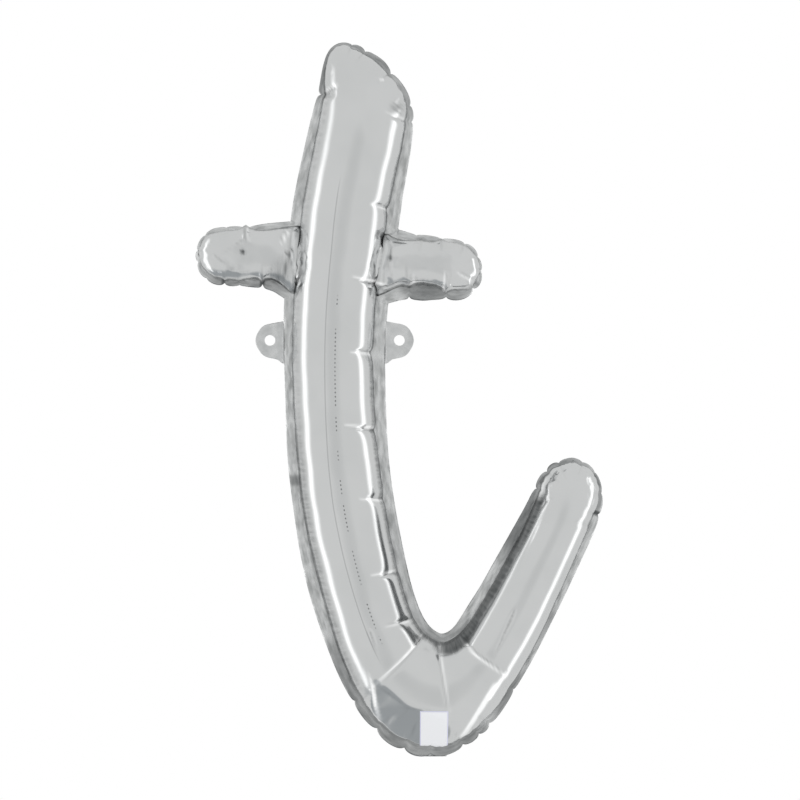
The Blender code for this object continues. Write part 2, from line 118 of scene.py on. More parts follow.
OUTER_X, OUTER_Z, INNER_X, INNER_Z, DEPTH, OUTER_EDGE, INNER_EDGE, GATHER = range(8)
OUTER = [OUTER_X, OUTER_Z]
INNER = [INNER_X, INNER_Z]

# Fineness of the films: spacing of the rows along a tube, cells across it, and rows along an arm.
ROW_SPACING = 2.3 * MM
ACROSS = 72
ARM_ROWS = 50

# Steps between two rows of a table, and over how many of them the curves are averaged.
SMOOTHING_STEPS = 12
STEM_SMOOTHING = 5.0
CROSSBAR_SMOOTHING = 4.0

# How stem and crossbar join: the exponent of the power mean, and between which shares of the stem's half
# width the crossbar's height grows.
JOIN_SHARPNESS = 6.0
JOIN_REACH = (0.64, 0.96)

# An arm's section is fuller than an ellipse. Its first rows ease from the stem's edge to it, and its rows
# stand closer towards the tip. On the map the arms are moved away from the stem by this much.
ARM_FULLNESS = 3.0
ARM_EASING_ROWS = 12
ARM_CLOSENESS = 1.3
ARM_MAP_OFFSET = 1.0
FILM_WALL = 0.25 * MM

# How far the film hangs over the welded edge where that is gathered, and the share of it at the bowl.
OVERHANG = 3.3 * MM
OVERHANG_AT_BOWL = 0.3
BOWL_TOP_Z = -200.0 * MM

# Flat places low on the letter, where the film is stretched between creases: a plane through (x, z) at a
# height, with its slopes, and how softly it cuts the film. None reaches further left than FACETS_LEFT.
FACETS = (
    # x, z, height, slope_x, slope_z, softness
    (80, -309.5, 38.8, 0.28, 0.82, 0.4),
    (39.8, -286, 34.6, 0.65, 0.60, 0.4),
    (60, -276, 39.4, 0.05, -0.03, 1),
    (112, -276, 38.4, -0.06, -0.03, 1),
)
FACETS_LEFT = 32.0 * MM

# Pleats that start at a gather in the welded edge: where on the edge, how far into the film, how deep and
# how wide, and how much wider one side is than the other.
PLEATS = (
    # x, z, length, depth, width, lean
    (-10, 206, 13, 1.8, 2.2, 0),
    (14.6, 249, 12, 0.7, 3, 0.2),
    (27.2, 243.9, 12, 1.2, 3, -0.2),
    (47.4, 224.5, 16, 1.4, 3.2, 0.3),
    (62, 197, 10, 0.9, 2.4, 0),
    (64.2, 183.5, 10, 0.9, 2.2, 0),
    (18.8, -302.1, 14, 1.1, 3.2, 0),
    (35.6, -325.7, 20, 1.6, 4, 0.3),
    (60, -339.9, 22, 1.8, 4, -0.2),
    (80.1, -346.7, 14, 1.6, 3.2, 0),
    (107, -337.4, 14, 1.4, 3, 0.2),
    (117.9, -327.3, 11, 1.1, 2.4, 0),
    (128.9, -320.6, 13, 1.2, 2.8, 0),
    (149.5, -293, 9, 0.8, 2.6, 0),
    (172.5, -125.7, 13, 1.2, 2.6, -0.3),
    (178.4, -110.6, 13, 1.2, 2.4, 0),
    (189, -106, 14, 1, 2.4, 0),
    (207, -104.7, 15, 0.5, 2.2, 0.2),
    (217, -112, 11, 0.4, 2.2, 0),
    (223, -128.5, 12, 0.5, 2.6, 0),
    (220.4, -146.7, 15, 1.2, 2.4, 0.2),
    (-73.6, 96, 14, 2, 2.4, 0.2),
    (-91, 95, 8, 0.4, 2, 0),
    (-107.5, 87, 10, 0.6, 2.2, 0),
    (-115.5, 76, 9, 0.7, 2.2, 0),
    (-113.9, 65.8, 10, 0.8, 2.2, 0),
    (-106.5, 54, 12, 0.6, 2.4, 0.2),
    (-93, 47, 10, 1.3, 2.2, 0),
    (-79.5, 45.6, 10, 0.4, 2.2, 0),
    (-61, 43, 13, 2.2, 2.2, -0.3),
    (68, 88.5, 9, 0.6, 2.2, 0),
    (89.4, 86, 9, 0.8, 2.2, 0),
    (109.5, 81, 11, 0.8, 2.2, 0),
    (120.5, 70.3, 10, 0.7, 2.2, 0),
    (124, 58, 9, 0.5, 2.2, 0),
    (115.4, 44, 11, 2, 2.2, 0),
    (93.6, 35.6, 19, 1.4, 2.6, 0.3),
    (62.5, 36.5, 19, 1.6, 2.4, -0.3),
)

# Folds in the film: from (x, z) to (x, z), depth and width at the start, how much wider one side is than
# the other, how deep the start is (1 at a seam, less where a fold begins in the film), and how bright the
# painted glint beside it is, positive on the left of its direction. A row with no depth only paints a
# glint on the front film.
FOLDS = (
    # start_x, start_z, end_x, end_z, depth, width, lean, head, glint
    (58, 183.5, 41, 188, 0.5, 2.4, -0.4, 1, -0.4),
    (45.7, 110.5, 30, 114, 1.3, 2.2, 0.3, 1, 0.7),
    (37.3, 46.5, 15, 50.5, 1.7, 2.4, -0.4, 1, -1),
    (32.8, -10, 13, -8.6, 1.7, 2.2, 0.4, 1, 1),
    (33.5, -75, 8, -72.5, 1.8, 2.2, 0.4, 1, -1),
    (39.5, -132, 21, -130.5, 1.4, 2, 0.3, 1, 0.8),
    (49.8, -194.6, 30, -197.5, 1.6, 2.2, -0.3, 1, -0.9),
    (60.5, -233, 42, -236.5, 1.3, 2, 0.3, 1, 0.6),
    (72, -250.5, 59, -265, 1.3, 2.6, -0.3, 1, -0.6),
    (62, -262, 30, -292.5, 1.3, 2.4, -0.3, 0.9, -1),
    (87, -256.5, 89, -276, 0.8, 2.2, 0.3, 1, 0.25),
    (88.4, -270, 94.5, -309, 1.1, 2, 0.3, 0.8, 0.45),
    (109, -250, 123, -263.5, 1.1, 2.2, 0.3, 1, -0.7),
    (119, -260.5, 146, -279.5, 1.4, 2.2, 0.3, 0.9, -0.8),
    (36, -287.5, 66, -308.5, 0.8, 5, -0.6, 0.3, 0),
    (58, -306, 97, -307.5, 0.6, 4, -0.6, 0.3, 0),
    (52, -318, 66, -300, 0.5, 4, 0, 0.2, 0),
    (147.5, -230.5, 133.5, -261, 1.6, 0.7, 0, 1, 0),
    (30.6, -243.3, 35.6, -259.3, 1.1, 0.8, 0, 1, 0),
    (176, -140, 150, -196, 0.5, 5, 0.3, 0, 0),
    (213, -153.5, 196, -151, 1, 1.8, 0, 1, 0),
    (172, -135, 184, -131, 0.8, 1.8, 0, 1, 0),
    (-75.3, 92, -72.5, 80, 1.7, 1.8, 0.3, 0.9, 0.5),
    (-73, 85, -96.5, 69.5, 0.9, 1.5, 0.5, 0.6, 0),
    (-98.5, 70, -84.5, 58.5, 1.2, 2.4, -0.5, 0.6, 0),
    (-85.5, 59.5, -60, 55, 1.2, 2.2, -0.5, 0.8, 0),
    (-61, 45, -60.5, 58, 1.9, 1.8, 0, 1, 0.6),
    (-61, 53, -44, 66, 0.9, 2.4, 0.4, 0.7, 0),
    (-36, 89, -38.5, 66, 2.2, 1.6, 0, 0.7, 0.4),
    (-38.3, 70, -43.5, 46, 2.6, 2, 0.3, 0.7, 0),
    (-38, 70, -31.5, 45, 2, 2, -0.3, 0.7, 0.6),
    (-33, 92, -29.5, 73, 1, 1.6, 0, 1, 0),
    (-41.5, 89, -46, 80, 1, 1.4, 0, 0.9, 0.9),
    (-36, 42, -30, 54, 1.2, 1.6, 0, 1, 0),
    (62.8, 40, 64.5, 55, 1.8, 1.8, 0.4, 1, -0.7),
    (66, 52.5, 91, 48.2, 1, 1.6, -0.5, 0.9, 0),
    (93.6, 40, 94.5, 58, 1.5, 1.6, 0, 1, 0.8),
    (68, 58, 80, 61, 0.4, 1.4, 0, 0, 0),
    (48.5, 75, 43.5, 58, 2.6, 1.6, 0.2, 0.4, 0),
    (44, 62, 40, 42, 1.2, 1.8, 0, 0.7, 0),
    (46, 62, 50, 44, 1.1, 1.8, 0, 0.7, 0),
    (44, 88, 49, 72, 1.2, 1.6, 0, 0.9, 0),
    (40.5, 87, 43, 68, 1, 1.6, 0, 1, 0),
    (112.5, 52.5, 103, 58, 1.1, 1.6, 0, 1, 0.6),
    (72.5, 84, 71, 72, 0.8, 1.6, 0, 1, 0),
    (89, 83, 88.5, 74, 0.8, 1.6, 0, 1, 0),
    (-7, 208, 4, 211, 1.4, 1.6, 0.3, 1, 0.6),
    (-8, 203, 1.5, 203.5, 1, 1.6, 0, 1, 0),
    (170, -128.6, 146.7, -186.9, 0, 1, 0, 0.4, 0.9),
    (29, -286, 36.5, -327, 0, 1, 0, 0.3, 1),
    (30.2, -288, 36.8, -318, 0, 1, 0, 0.5, 1),
    (127.9, -293.1, 103, -333, 0, 1, 0, 1, 1),
    (126.4, -293.1, 103, -331, 0, 1, 0, 1, 1),
    (131, -290.5, 104.5, -334, 0, 1, 0, 1, 1),
    (40.5, 219, 37, 218, 0, 1, 0, 1, 0.8),
)

# Places beside a seam where the tube's rows stand closer: creases, both ends, an arm's root and the bend.
CREASED_PLACES = tuple((x, z, 3.5, 1.3) for x, z, *_ in FOLDS[:8] + PLEATS[:1]) + (
    # x, z, reach, how much denser
    (35.6, 227, 22, 0.9),
    (201.1, -108.5, 22, 0.9),
    (91, -254.5, 26, 0.7),
    (-33, 64, 18, 0.5),
    (72, -250.5, 10, 0.8),
    (109, -250, 12, 0.9),
)

# Crumpled places where the arms meet the stem.
ROOTS = (
    # x, z, reach
    (-34.5, 62, 12),
    (44.5, 61, 12),
)

# Crumples of the film where the edge is gathered, on the arms, at their roots and beside the seam: what is
# added to the film's seed, then the shortest and the longest wavelength and the height in millimetres.
CRUMPLES = (
    # step, shortest, longest, height
    (1, 7, 18, 1.5),
    (2, 11, 26, 0.28),
    (4, 8, 20, 1.3),
    (3, 9, 30, 0.35),
)

# Painted shade on the film: dark in small pits, and soft in patches.
SHADE_SPOTS = (
    # x, z, reach, strength
    (-76.1, 73.3, 1.7, 1.5),
    (-9.7, 204.4, 1.3, 0.8),
    (-36.2, 75, 1.6, 0.7),
    (47.5, 68, 2, 0.7),
    (-48, 52, 8, 0.34),
    (52.6, 193.2, 4.5, 0.6),
    (-41, 62, 6, 0.3),
    (-39.5, 72, 1.2, 0.8),
)

# How much deeper every fold is than its row says, and the share of that for the pleats.
FOLD_GAIN = 1.7
PLEAT_SHARE = 0.65

# Across a fold: the share of its sharp valley, and how much wider the shallow one is. Then how dark the
# painted shade in a fold is for each millimetre of its depth, how dark at most, and how wide; how far
# beside it the painted glint lies, and how wide that is.
SHARP_SHARE = 0.7
SHALLOW_WIDTH = 2.6
FOLD_DARKNESS = 0.22
FOLD_DARKEST = 0.6
FOLD_DARK_WIDTH = 0.9 * MM
GLINT_DISTANCE = 1.7 * MM
GLINT_WIDTH = 1.1 * MM

# The welded edge: how far it reaches in between the films, its thickness, the spacing of its points along
# the seam, and how many stand across it.
EDGE_INSET = 5.5 * MM
EDGE_THICKNESS = 0.35 * MM
EDGE_SPACING = 1.1 * MM
EDGE_ACROSS = 7

# How the welded edge leaves its plain shape: the share of a pleat's depth by which its rim is drawn in; the
# share of two pleats' depths by which it swells out between them, and how close they have to stand for that;
# how far it bows between two, in millimetres, and the gap from which on it bows less; place, reach and
# height of its twist.
NOTCH_SHARE = 1.5
SWELL_SHARE = 0.3
SWELL_GAP = 60.0 * MM
EDGE_BOW = (0.5, 1.5)
FULL_BOW_GAP = 22.0 * MM
TWIST_Z = -126.0 * MM
TWIST_REACH = 26.0 * MM
TWIST_HEIGHT = 1.6 * MM

# Painted shade where the welded edge faces away from the light: places, reach of each, and its strength.
EDGE_SHADES = (
    # x, z, reach, strength
    (-6, 229, 26, 0.60),
    (33.9, 233.8, 26, 0.42),
    (61.7, 204.9, 13, 0.36),
    (-23, 130, 20, 0.15),
    (53.3, -184.5, 50, 0.12),
    (3, -285, 34, 0.52),
    (28, -319, 20, 0.50),
    (88.5, -256, 30, 0.35),
    (-92, 48, 19, 0.46),
    (-58.5, 46.5, 16, 0.44),
    (76, 37.2, 17, 0.62),
    (101, 40.6, 12, 0.40),
    (50.7, -334, 20, 0.54),
    (71.7, -345.8, 14, 0.48),
    (92.7, -347.5, 14, 0.48),
    (112, -335, 16, 0.52),
    (182.6, -105.6, 12, 0.50),
    (173.4, -119.9, 11, 0.45),
    (223.8, -134.1, 9, 0.42),
    (222.5, -117.5, 8, 0.36),
    (200, -101.4, 13, 0.35),
    (160, -155, 34, 0.70),
    (180, -239, 15, 0.40),
    (148, -296, 24, 0.55),
    (-37.5, -118, 5, 0.60),
    (-93.7, 46.5, 2, 0.95),
    (-61, 44.5, 2.5, 0.95),
    (118.5, 47.5, 3, 0.95),
    (222.5, -146, 2.5, 0.95),
)

# Shades painted at the film's foot beside the seam: strength, reach from the seam in millimetres, and how
# sharply each one ends there. The tail's band is wider beside the bend, by that share.
LINE_BAND = (0.8, 1.3, 4)
STEM_BAND = (0.42, 3.4, 6)
TAIL_BAND = (0.88, 6.0, 10)
TAIL_BAND_WIDENING = 3.8 / 6.0
BEND_BAND = (0.62, 2.2, 6)
OUTER_BAND = (0.78, 2.8, 6)

# The softer shade between seam and highlight on the outer side, and what is added low on the stem.
SOFT_SHADE = 0.12
SOFT_SHADE_LOW = 0.19

# Puckers that reach further in low on the inner side: strength, reach and sharpness.
LOW_PUCKERS = (0.25, 13, 4)

# The hanging tabs, each folding on an upright line, and the right one's corners in millimetres from it.
TAB_FOLD_X = 43.2 * MM
TAB_HOLE_X = 54.4 * MM
TAB_HOLE_DIAMETER = 9.0 * MM
TAB_TOP = 16.0 * MM
TAB_BOTTOM = -20.0 * MM
TAB_CORNERS = (
    # out from the fold line, height, corner radius
    (0, 16, 0),
    (17.8, 12.6, 12),
    (25.3, -0.5, 13),
    (17, -13.5, 12),
    (5, -16, 5),
    (0, -20, 0),
)
TAB_WALL = 0.35 * MM
BEAD_RADIUS = 0.55 * MM

# The ring pressed in round a tab's hole: its depth, its distance from the hole and its width.
TAB_RING_DEPTH = 0.18 * MM
TAB_RING_DISTANCE = 1.6 * MM
TAB_RING_WIDTH = 0.7 * MM

# The inflation neck, folded back under the bowl along an elliptical arc, and the valve film in it.
NECK_X = 82.0 * MM
NECK_WIDTH = 24.0 * MM
NECK_THICKNESS = 2.2 * MM
NECK_FOLD_Z = -349.2 * MM
NECK_ARC_CENTRE_Z = -298.5 * MM
NECK_ARC_DEPTH = 44.5 * MM
NECK_ARC_END = math.radians(62)
NECK_WALL = 0.15 * MM
VALVE_WIDTH = 15.0 * MM
VALVE_START = math.radians(20)
VALVE_END = math.radians(66)
VALVE_WALL = 0.12 * MM

# Colours of the foil, the welded film, the panel, the valve, the floor and the studio, in linear light.
FOIL = (0.885, 0.89, 0.895, 1)
FOIL_DULL = (0.80, 0.81, 0.815, 1)
FOIL_IN_SHADE = (0.10, 0.107, 0.11, 1)
WELD_LIGHT = (0.93, 0.935, 0.94, 1)
WELD_DARK = (0.56, 0.57, 0.57, 1)
TAB_LIGHT = (0.90, 0.905, 0.91, 1)
TAB_DARK = (0.70, 0.71, 0.715, 1)
PANEL_WHITE = (0.95, 0.955, 1.0, 1)
PANEL_BORDER = (0.62, 0.62, 0.86, 1)
MILKY_DARK = (0.80, 0.84, 0.86, 1)
MILKY_LIGHT = (0.90, 0.92, 0.93, 1)
FLOOR_DARK = (0.60, 0.60, 0.60, 1)
FLOOR_LIGHT = (0.66, 0.66, 0.66, 1)
STUDIO = (0.635, 0.642, 0.637, 1)
STUDIO_BELOW = (0.33, 0.348, 0.358, 1)
STUDIO_FRONT = (0.42, 0.43, 0.43, 1)

# The plain printed panel on the front film: left, right, bottom and top, and the width of its border.
PANEL = (71.5 * MM, 94.8 * MM, -341.5 * MM, -307.5 * MM)
PANEL_BORDER_WIDTH = 0.9 * MM

# The line pressed into the films where they were folded in the packet, and the broken row of pinpricks
# beside it: distance from the crown, where along the tube they run, and how dark they are. Both drift
# from side to side, by PRESSED_DRIFT sin(PRESSED_WAVE along).
PRESSED_LINE = -6.6 * MM
PRESSED_SPAN = (120 * MM, 490 * MM)
PRESSED_SHADE = 0.28
PRESSED_DRIFT = 1.1 * MM
PRESSED_WAVE = 21.0
PINPRICK_LINE = 1.8 * MM
PINPRICK_SPAN = (205 * MM, 490 * MM)
PINPRICK_SHADE = 0.85
PINPRICK_SPACING = 3.5 * MM
PINPRICK_GROUPS = 48.0

# The puckers beside the seam: scale of the noise along the tube, the share of it across the tube, their
# height, and how strongly they break up the border of a dark place.
PUCKER_SCALE = 330.0
PUCKER_LENGTHENING = 0.15
PUCKER_RELIEF = 2.5
FRAYING = 0.55

# Painted light: faint emission for the glints beside creases and for the white panel.
GLINT_LIGHT = 0.42
PANEL_LIGHT = 0.24

# The strip lights: angle from straight ahead, bottom, top, and the share of the height that fades there.
STRIPS = (
    ("left_strip", -85, -0.98, 0.85, 0.3),
    ("right_strip", 88, -0.98, 0.45, 0.06),
)
STRIP_DISTANCE = 1.0
STRIP_WIDTH = 0.46
STRIP_RADIANCE = 0.8

# Direction of the dark place below the letter, and the height of the floor.
DARK_BELOW = (-0.4, 0.05, -0.915)
FLOOR_Z = -1.0


def catmull_rom(table, steps):
    """Rows between the table's rows on a Catmull-Rom curve: the cubic through two rows whose slopes come
    from their neighbours, at equal steps of its parameter."""
    known = np.array(table, dtype=float)
    known[:, :GATHER] *= MM
    before = np.vstack([2 * known[:1] - known[1:2], known[:-2]])[:, None]
    after = np.vstack([known[2:], 2 * known[-1:] - known[-2:-1]])[:, None]
    t = (np.arange(steps) / steps)[None, :, None]
    start, end = known[:-1, None], known[1:, None]
    between = 0.5 * (
        2 * start
        + (end - before) * t
        + (2 * before - 5 * start + 4 * end - after) * t**2
        + (3 * start - before - 3 * end + after) * t**3
    )
    return np.vstack([between.reshape(-1, known.shape[1]), known[-1:]])


def bell_average(values, spread, closed=False):
    """Each column averaged along the rows with a bell-shaped weight, spread rows wide. An open line keeps
    its ends, because it is continued through them turned half round."""
    reach = int(3 * spread)
    weight = np.exp(-0.5 * (np.arange(-reach, reach + 1) / spread) ** 2)
    weight /= weight.sum()
    if closed:
        padded = np.vstack([values[-reach:], values, values[:reach]])
    else:
        low = 2 * values[:1] - values[reach:0:-1]
        high = 2 * values[-1:] - values[-2 : -reach - 2 : -1]
        padded = np.vstack([low, values, high])
    return np.stack([np.convolve(column, weight, mode="valid") for column in padded.T], axis=1)


def lengths_along(line):
    """Distance from a line's first point to each of its points."""
    return np.concatenate([[0.0], np.cumsum(np.linalg.norm(np.diff(line, axis=0), axis=1))])


def read_at(place, along, values):
    """Every column of values at new distances, straight between its known ones."""
    return np.stack([np.interp(place, along, column) for column in values.T], axis=1)


def middle_line(rows):
    """The line midway between a tube's outer and inner edges."""
    return (rows[:, OUTER] + rows[:, INNER]) / 2


def unit(vectors):
    """The same directions with a length of one."""
    return vectors / np.linalg.norm(vectors, axis=-1, keepdims=True)


def distance_to(place, x, z):
    """How far each point is from (x, z), which is in millimetres."""
    return np.linalg.norm(place - np.array([x, z]) * MM, axis=1)


def nearest_points(place, line):
    """For each place the number of the line's nearest point."""
    return np.linalg.norm(line[None] - place[:, None], axis=2).argmin(axis=1)


def ramp(value, start, end):
    """Goes straight from 0 at start to 1 at end, and stays there outside them."""
    return np.clip((value - start) / (end - start), 0, 1)


def eased(share):
    """Goes from 0 to 1 without a corner: 3 share^2 - 2 share^3."""
    return share * share * (3 - 2 * share)


def bell(distance, reach):
    """A bell-shaped weight: exp(-(distance / reach)^2)."""
    return np.exp(-((distance / reach) ** 2))


def respaced(rows, creased):
    """The tube's rows read again: closer beside each creased place, at the ends and round the bend, wider
    between. The density is 0.8 plus bells round those places, and the rows stand at equal steps of its
    running sum. A row's step counts how far its middle moves and how much its width and depth change, so
    blunt ends get enough rows."""
    along = lengths_along(middle_line(rows))
    half = np.linalg.norm(rows[:, OUTER] - rows[:, INNER], axis=1) / 2
    travelled = lengths_along(np.column_stack([middle_line(rows), half, rows[:, DEPTH]]))
    density = np.full(len(along), 0.8)
    for x, z, reach, more in creased:
        nearest = np.minimum(distance_to(rows[:, OUTER], x, z), distance_to(rows[:, INNER], x, z)).argmin()
        density += more * np.exp(-0.5 * ((along - along[nearest]) / (reach * MM)) ** 2)
    density = np.minimum(density, 2.2)
    steps = (density[1:] + density[:-1]) / 2 * np.diff(travelled) / ROW_SPACING
    count = np.concatenate([[0.0], np.cumsum(steps)])
    wanted = np.linspace(0, count[-1], int(count[-1]) + 1)
    return read_at(wanted, count, rows), np.interp(wanted, count, along)


def put_in_scene(name, data):
    """A new object in the scene with this data."""
    made = bpy.data.objects.new(name, data)
    bpy.context.scene.collection.objects.link(made)
    return made


def new_piece(name, points, faces, material, uv=None):
    """A smooth mesh object at the origin, from points and arrays of faces, with a UV map where uv holds
    one row for each point."""
    mesh = bpy.data.meshes.new(name)
    groups = [np.asarray(group, dtype=np.int32) for group in faces if len(group)]
    sizes = np.concatenate([np.full(len(group), group.shape[1]) for group in groups])
    corners = np.concatenate([group.ravel() for group in groups])
    mesh.vertices.add(len(points))
    mesh.vertices.foreach_set("co", np.ascontiguousarray(points, dtype=np.float32).ravel())
    mesh.loops.add(len(corners))
    mesh.loops.foreach_set("vertex_index", corners)
    mesh.polygons.add(len(sizes))
    mesh.polygons.foreach_set("loop_start", np.concatenate([[0], np.cumsum(sizes)[:-1]]).astype(np.int32))
    mesh.update(calc_edges=True)
    mesh.polygons.foreach_set("use_smooth", np.full(len(sizes), True))
    if uv is not None:
        layer = mesh.uv_layers.new(name="UVMap")
        layer.data.foreach_set("uv", np.ascontiguousarray(uv[corners], dtype=np.float32).ravel())
    mesh.materials.append(material)
    return put_in_scene(name, mesh)


def with_values(piece, name, values):
    """One number for each point of a piece, which its material reads by name."""
    layer = piece.data.attributes.new(name, "FLOAT", "POINT")
    layer.data.foreach_set("value", values.astype(np.float32))


def with_wall(piece, thickness, offset):
    """A wall on an open surface: offset -1 puts it inside the surface, 0 on both sides."""
    wall = piece.modifiers.new("wall", "SOLIDIFY")
    wall.thickness = thickness
    wall.offset = offset
    wall.use_quality_normals = True
    return piece


def settle(piece, body, node):
    """Hands a finished piece over: it rides on a body and stands in for a node, whose part is hidden."""
    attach(piece, body)
    if node:
        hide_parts(node)


def grid_faces(index):
    """Quads over a two-way array of point numbers."""
    corners = index[:-1, :-1], index[1:, :-1], index[1:, 1:], index[:-1, 1:]
    return np.stack(corners, axis=-1).reshape(-1, 4)


def closed_index(shape):
    """Point numbers as a two-way array that repeats its first column, so that its faces close."""
    index = np.arange(shape[0] * shape[1]).reshape(shape)
    return np.hstack([index, index[:, :1]])


def fan_faces(centre, ring):
    """Triangles from one point to a row of points."""
    return np.stack([np.full(len(ring) - 1, centre), ring[:-1], ring[1:]], axis=-1)


def overhung(rows, turning):
    """The rows with their seams moved out where the edge is gathered, and the welded edge narrower by as
    much. Turning is 1 where the outer side and then the inner side run anticlockwise, and -1 the other
    way."""
    rows = rows.copy()
    count = len(rows)
    loop = np.vstack([rows[:, OUTER], rows[-2:0:-1, INNER]])
    gather = np.concatenate([rows[:, GATHER], rows[-2:0:-1, GATHER]])
    amount = OVERHANG * gather * np.where(loop[:, 1] < BOWL_TOP_Z, OVERHANG_AT_BOWL, 1.0)
    ahead = unit(np.roll(loop, -1, axis=0) - np.roll(loop, 1, axis=0))
    loop += turning * np.stack([ahead[:, 1], -ahead[:, 0]], axis=1) * amount[:, None]
    rows[:, OUTER] = loop[:count]
    rows[1:-1, INNER] = loop[count:][::-1]
    rows[:, OUTER_EDGE] -= amount[:count]
    rows[1:-1, INNER_EDGE] -= amount[count:][::-1]
    for end in (0, -1):
        rows[end, INNER] = rows[end, OUTER]
        rows[end, INNER_EDGE] = rows[end, OUTER_EDGE]
    return rows


def crossbar_height(x, z, rows):
    """How far the crossbar bulges at (x, z): half an ellipse between its top and bottom edges."""
    top = np.interp(x, rows[:, OUTER_X], rows[:, OUTER_Z])
    bottom = np.interp(x, rows[:, INNER_X], rows[:, INNER_Z])
    share = (z - (top + bottom) / 2) / np.maximum((top - bottom) / 2, 1e-6)
    return np.interp(x, rows[:, OUTER_X], rows[:, DEPTH]) * np.sqrt(np.clip(1 - share**2, 0, None))


def film_surface(stem, along, crossbar):
    """One film as rows of numbers and faces. A row is a point: x, z, height above the seam's plane,
    distance from the crown, distance along the tube, flat distance from the seam, and gather.

    Across the stem a point stands at angle t from the outer seam (0) to the inner seam (pi): its place is
    the row's middle plus half the row times cos t, and its height is the row's depth times sin t. Where
    the crossbar passes, both heights are joined by a power mean. The crossbar's height fades out inside
    the stem's edges, so the stem runs straight through. Each arm's grid starts on the stem's edge points."""
    turn = np.linspace(0, math.pi, ACROSS + 1)
    rows = stem[1:-1]
    outer, inner = rows[:, None, OUTER], rows[:, None, INNER]
    flat = (outer + inner) / 2 + (outer - inner) / 2 * np.cos(turn)[None, :, None]
    height = rows[:, None, DEPTH] * np.sin(turn)[None, :]
    bar = crossbar_height(flat[..., 0], flat[..., 1], crossbar)
    bar *= np.abs(flat[..., 1] - middle_line(crossbar)[:, 1].mean()) < stem[:, DEPTH].max() * 1.5
    bar *= eased(ramp(np.abs(np.cos(turn)), *JOIN_REACH))[None]
    height = (height**JOIN_SHARPNESS + bar**JOIN_SHARPNESS) ** (1 / JOIN_SHARPNESS)
    half = np.linalg.norm(outer - inner, axis=-1) / 2
    radius = (half + rows[:, None, DEPTH]) / 2
    sheet = np.stack(
        np.broadcast_arrays(
            flat[..., 0],
            flat[..., 1],
            height,
            (turn - math.pi / 2)[None] * radius,
            along[1:-1, None],
            (1 - np.abs(np.cos(turn)))[None] * half,
            rows[:, None, GATHER],
        ),
        axis=-1,
    )
    index = np.arange(sheet[..., 0].size).reshape(sheet.shape[:2])
    parts, quads, fans = [sheet.reshape(-1, 7)], [grid_faces(index)], []
    count = index.size
    for row, distance, ring in ((stem[0], along[0], index[0][::-1]), (stem[-1], along[-1], index[-1])):
        parts.append([[row[OUTER_X], row[OUTER_Z], 0, 0, distance, 0, row[GATHER]]])
        fans.append(fan_faces(count, ring))
        count += 1
    for arm_side, column in ((-1, 0), (1, ACROSS)):
        touched = np.flatnonzero(bar[:, column] > 0)
        root = index[touched[0] - 1 : touched[-1] + 2, column]
        arm = arm_surface(crossbar, parts[0][root, :3], arm_side)
        rings = arm[:-1].reshape(-1, len(root), 7)[1:]
        arm_index = np.vstack([root, count + np.arange(rings[..., 0].size).reshape(-1, len(root))])
        parts += [rings.reshape(-1, 7), arm[-1:]]
        count += rings[..., 0].size
        if arm_side < 0:
            arm_index = arm_index[:, ::-1]
        quads.append(grid_faces(arm_index))
        fans.append(fan_faces(count, arm_index[-1]))
        count += 1
    return np.vstack(parts), np.vstack(quads), np.vstack(fans)


def arm_surface(crossbar, root, arm_side):
    """One arm from the stem's edge to its tip. Rings stand across the crossbar, closer towards the tip.
    The first is the stem's edge, and the next ones ease from it to half sections fuller than an ellipse:
    |x|^n + |y|^n = 1, with n the fullness."""
    edge_x = root[:, 0].mean()
    order = crossbar[::arm_side]
    beyond = order[arm_side * (order[:, OUTER_X] - edge_x) > 0]
    first = read_at([edge_x], crossbar[:, OUTER_X], crossbar)
    line = np.vstack([first, beyond])
    along = lengths_along(middle_line(line))
    share = 1 - (1 - np.linspace(0, 1, ARM_ROWS + 1)) ** ARM_CLOSENESS
    rows = read_at(share * along[-1], along, line)
    tip_x, tip_z = rows[-1, OUTER]
    tip = [tip_x, tip_z, 0, tip_z + ARM_MAP_OFFSET, tip_x + ARM_MAP_OFFSET, 0, rows[-1, GATHER]]
    rows = rows[:-1]
    top, bottom = root[0, 1], root[-1, 1]
    start = np.arccos(np.clip((root[:, 1] - bottom) / (top - bottom) * 2 - 1, -1, 1))
    ease = eased(ramp(np.arange(len(rows)), 0, ARM_EASING_ROWS))[:, None]
    turn = start[None, :] * (1 - ease) + np.linspace(0, math.pi, len(root))[None, :] * ease
    power = 2 + (ARM_FULLNESS - 2) * ease
    across, up = np.cos(turn), np.maximum(np.sin(turn), 0)
    reach = (np.abs(across) ** power + up**power) ** (-1 / power)
    across, up = across * reach, up * reach
    outer, inner = rows[:, None, OUTER], rows[:, None, INNER]
    flat = (outer + inner) / 2 + (outer - inner) / 2 * across[..., None]
    shape = np.stack([flat[..., 0], flat[..., 1], rows[:, DEPTH, None] * up], axis=-1)
    shape += (root - shape[0])[None] * (1 - ease[..., None])
    edge = (1 - np.abs(across)) * (rows[:, OUTER_Z] - rows[:, INNER_Z])[:, None] / 2
    mapped = shape[..., 1::-1] + ARM_MAP_OFFSET
    rings = [shape, mapped, edge[..., None], np.repeat(rows[:, None, GATHER:], len(root), 1)]
    return np.vstack([np.concatenate(rings, axis=-1).reshape(-1, 7), tip])


def pleat_folds(outline, pleats):
    """Pleats written as folds: each starts at the seam's nearest point and runs straight in."""
    x, z, length, depth, width, lean = np.array(pleats).T
    nearest = nearest_points(np.stack([x, z], axis=1) * MM, outline["seam"])
    start = outline["seam"][nearest]
    end = start - outline["outward"][nearest] * (length * MM)[:, None]
    ones = np.ones(len(start))
    return np.column_stack([start / MM, end / MM, depth * PLEAT_SHARE, width, lean, ones, 0 * ones])


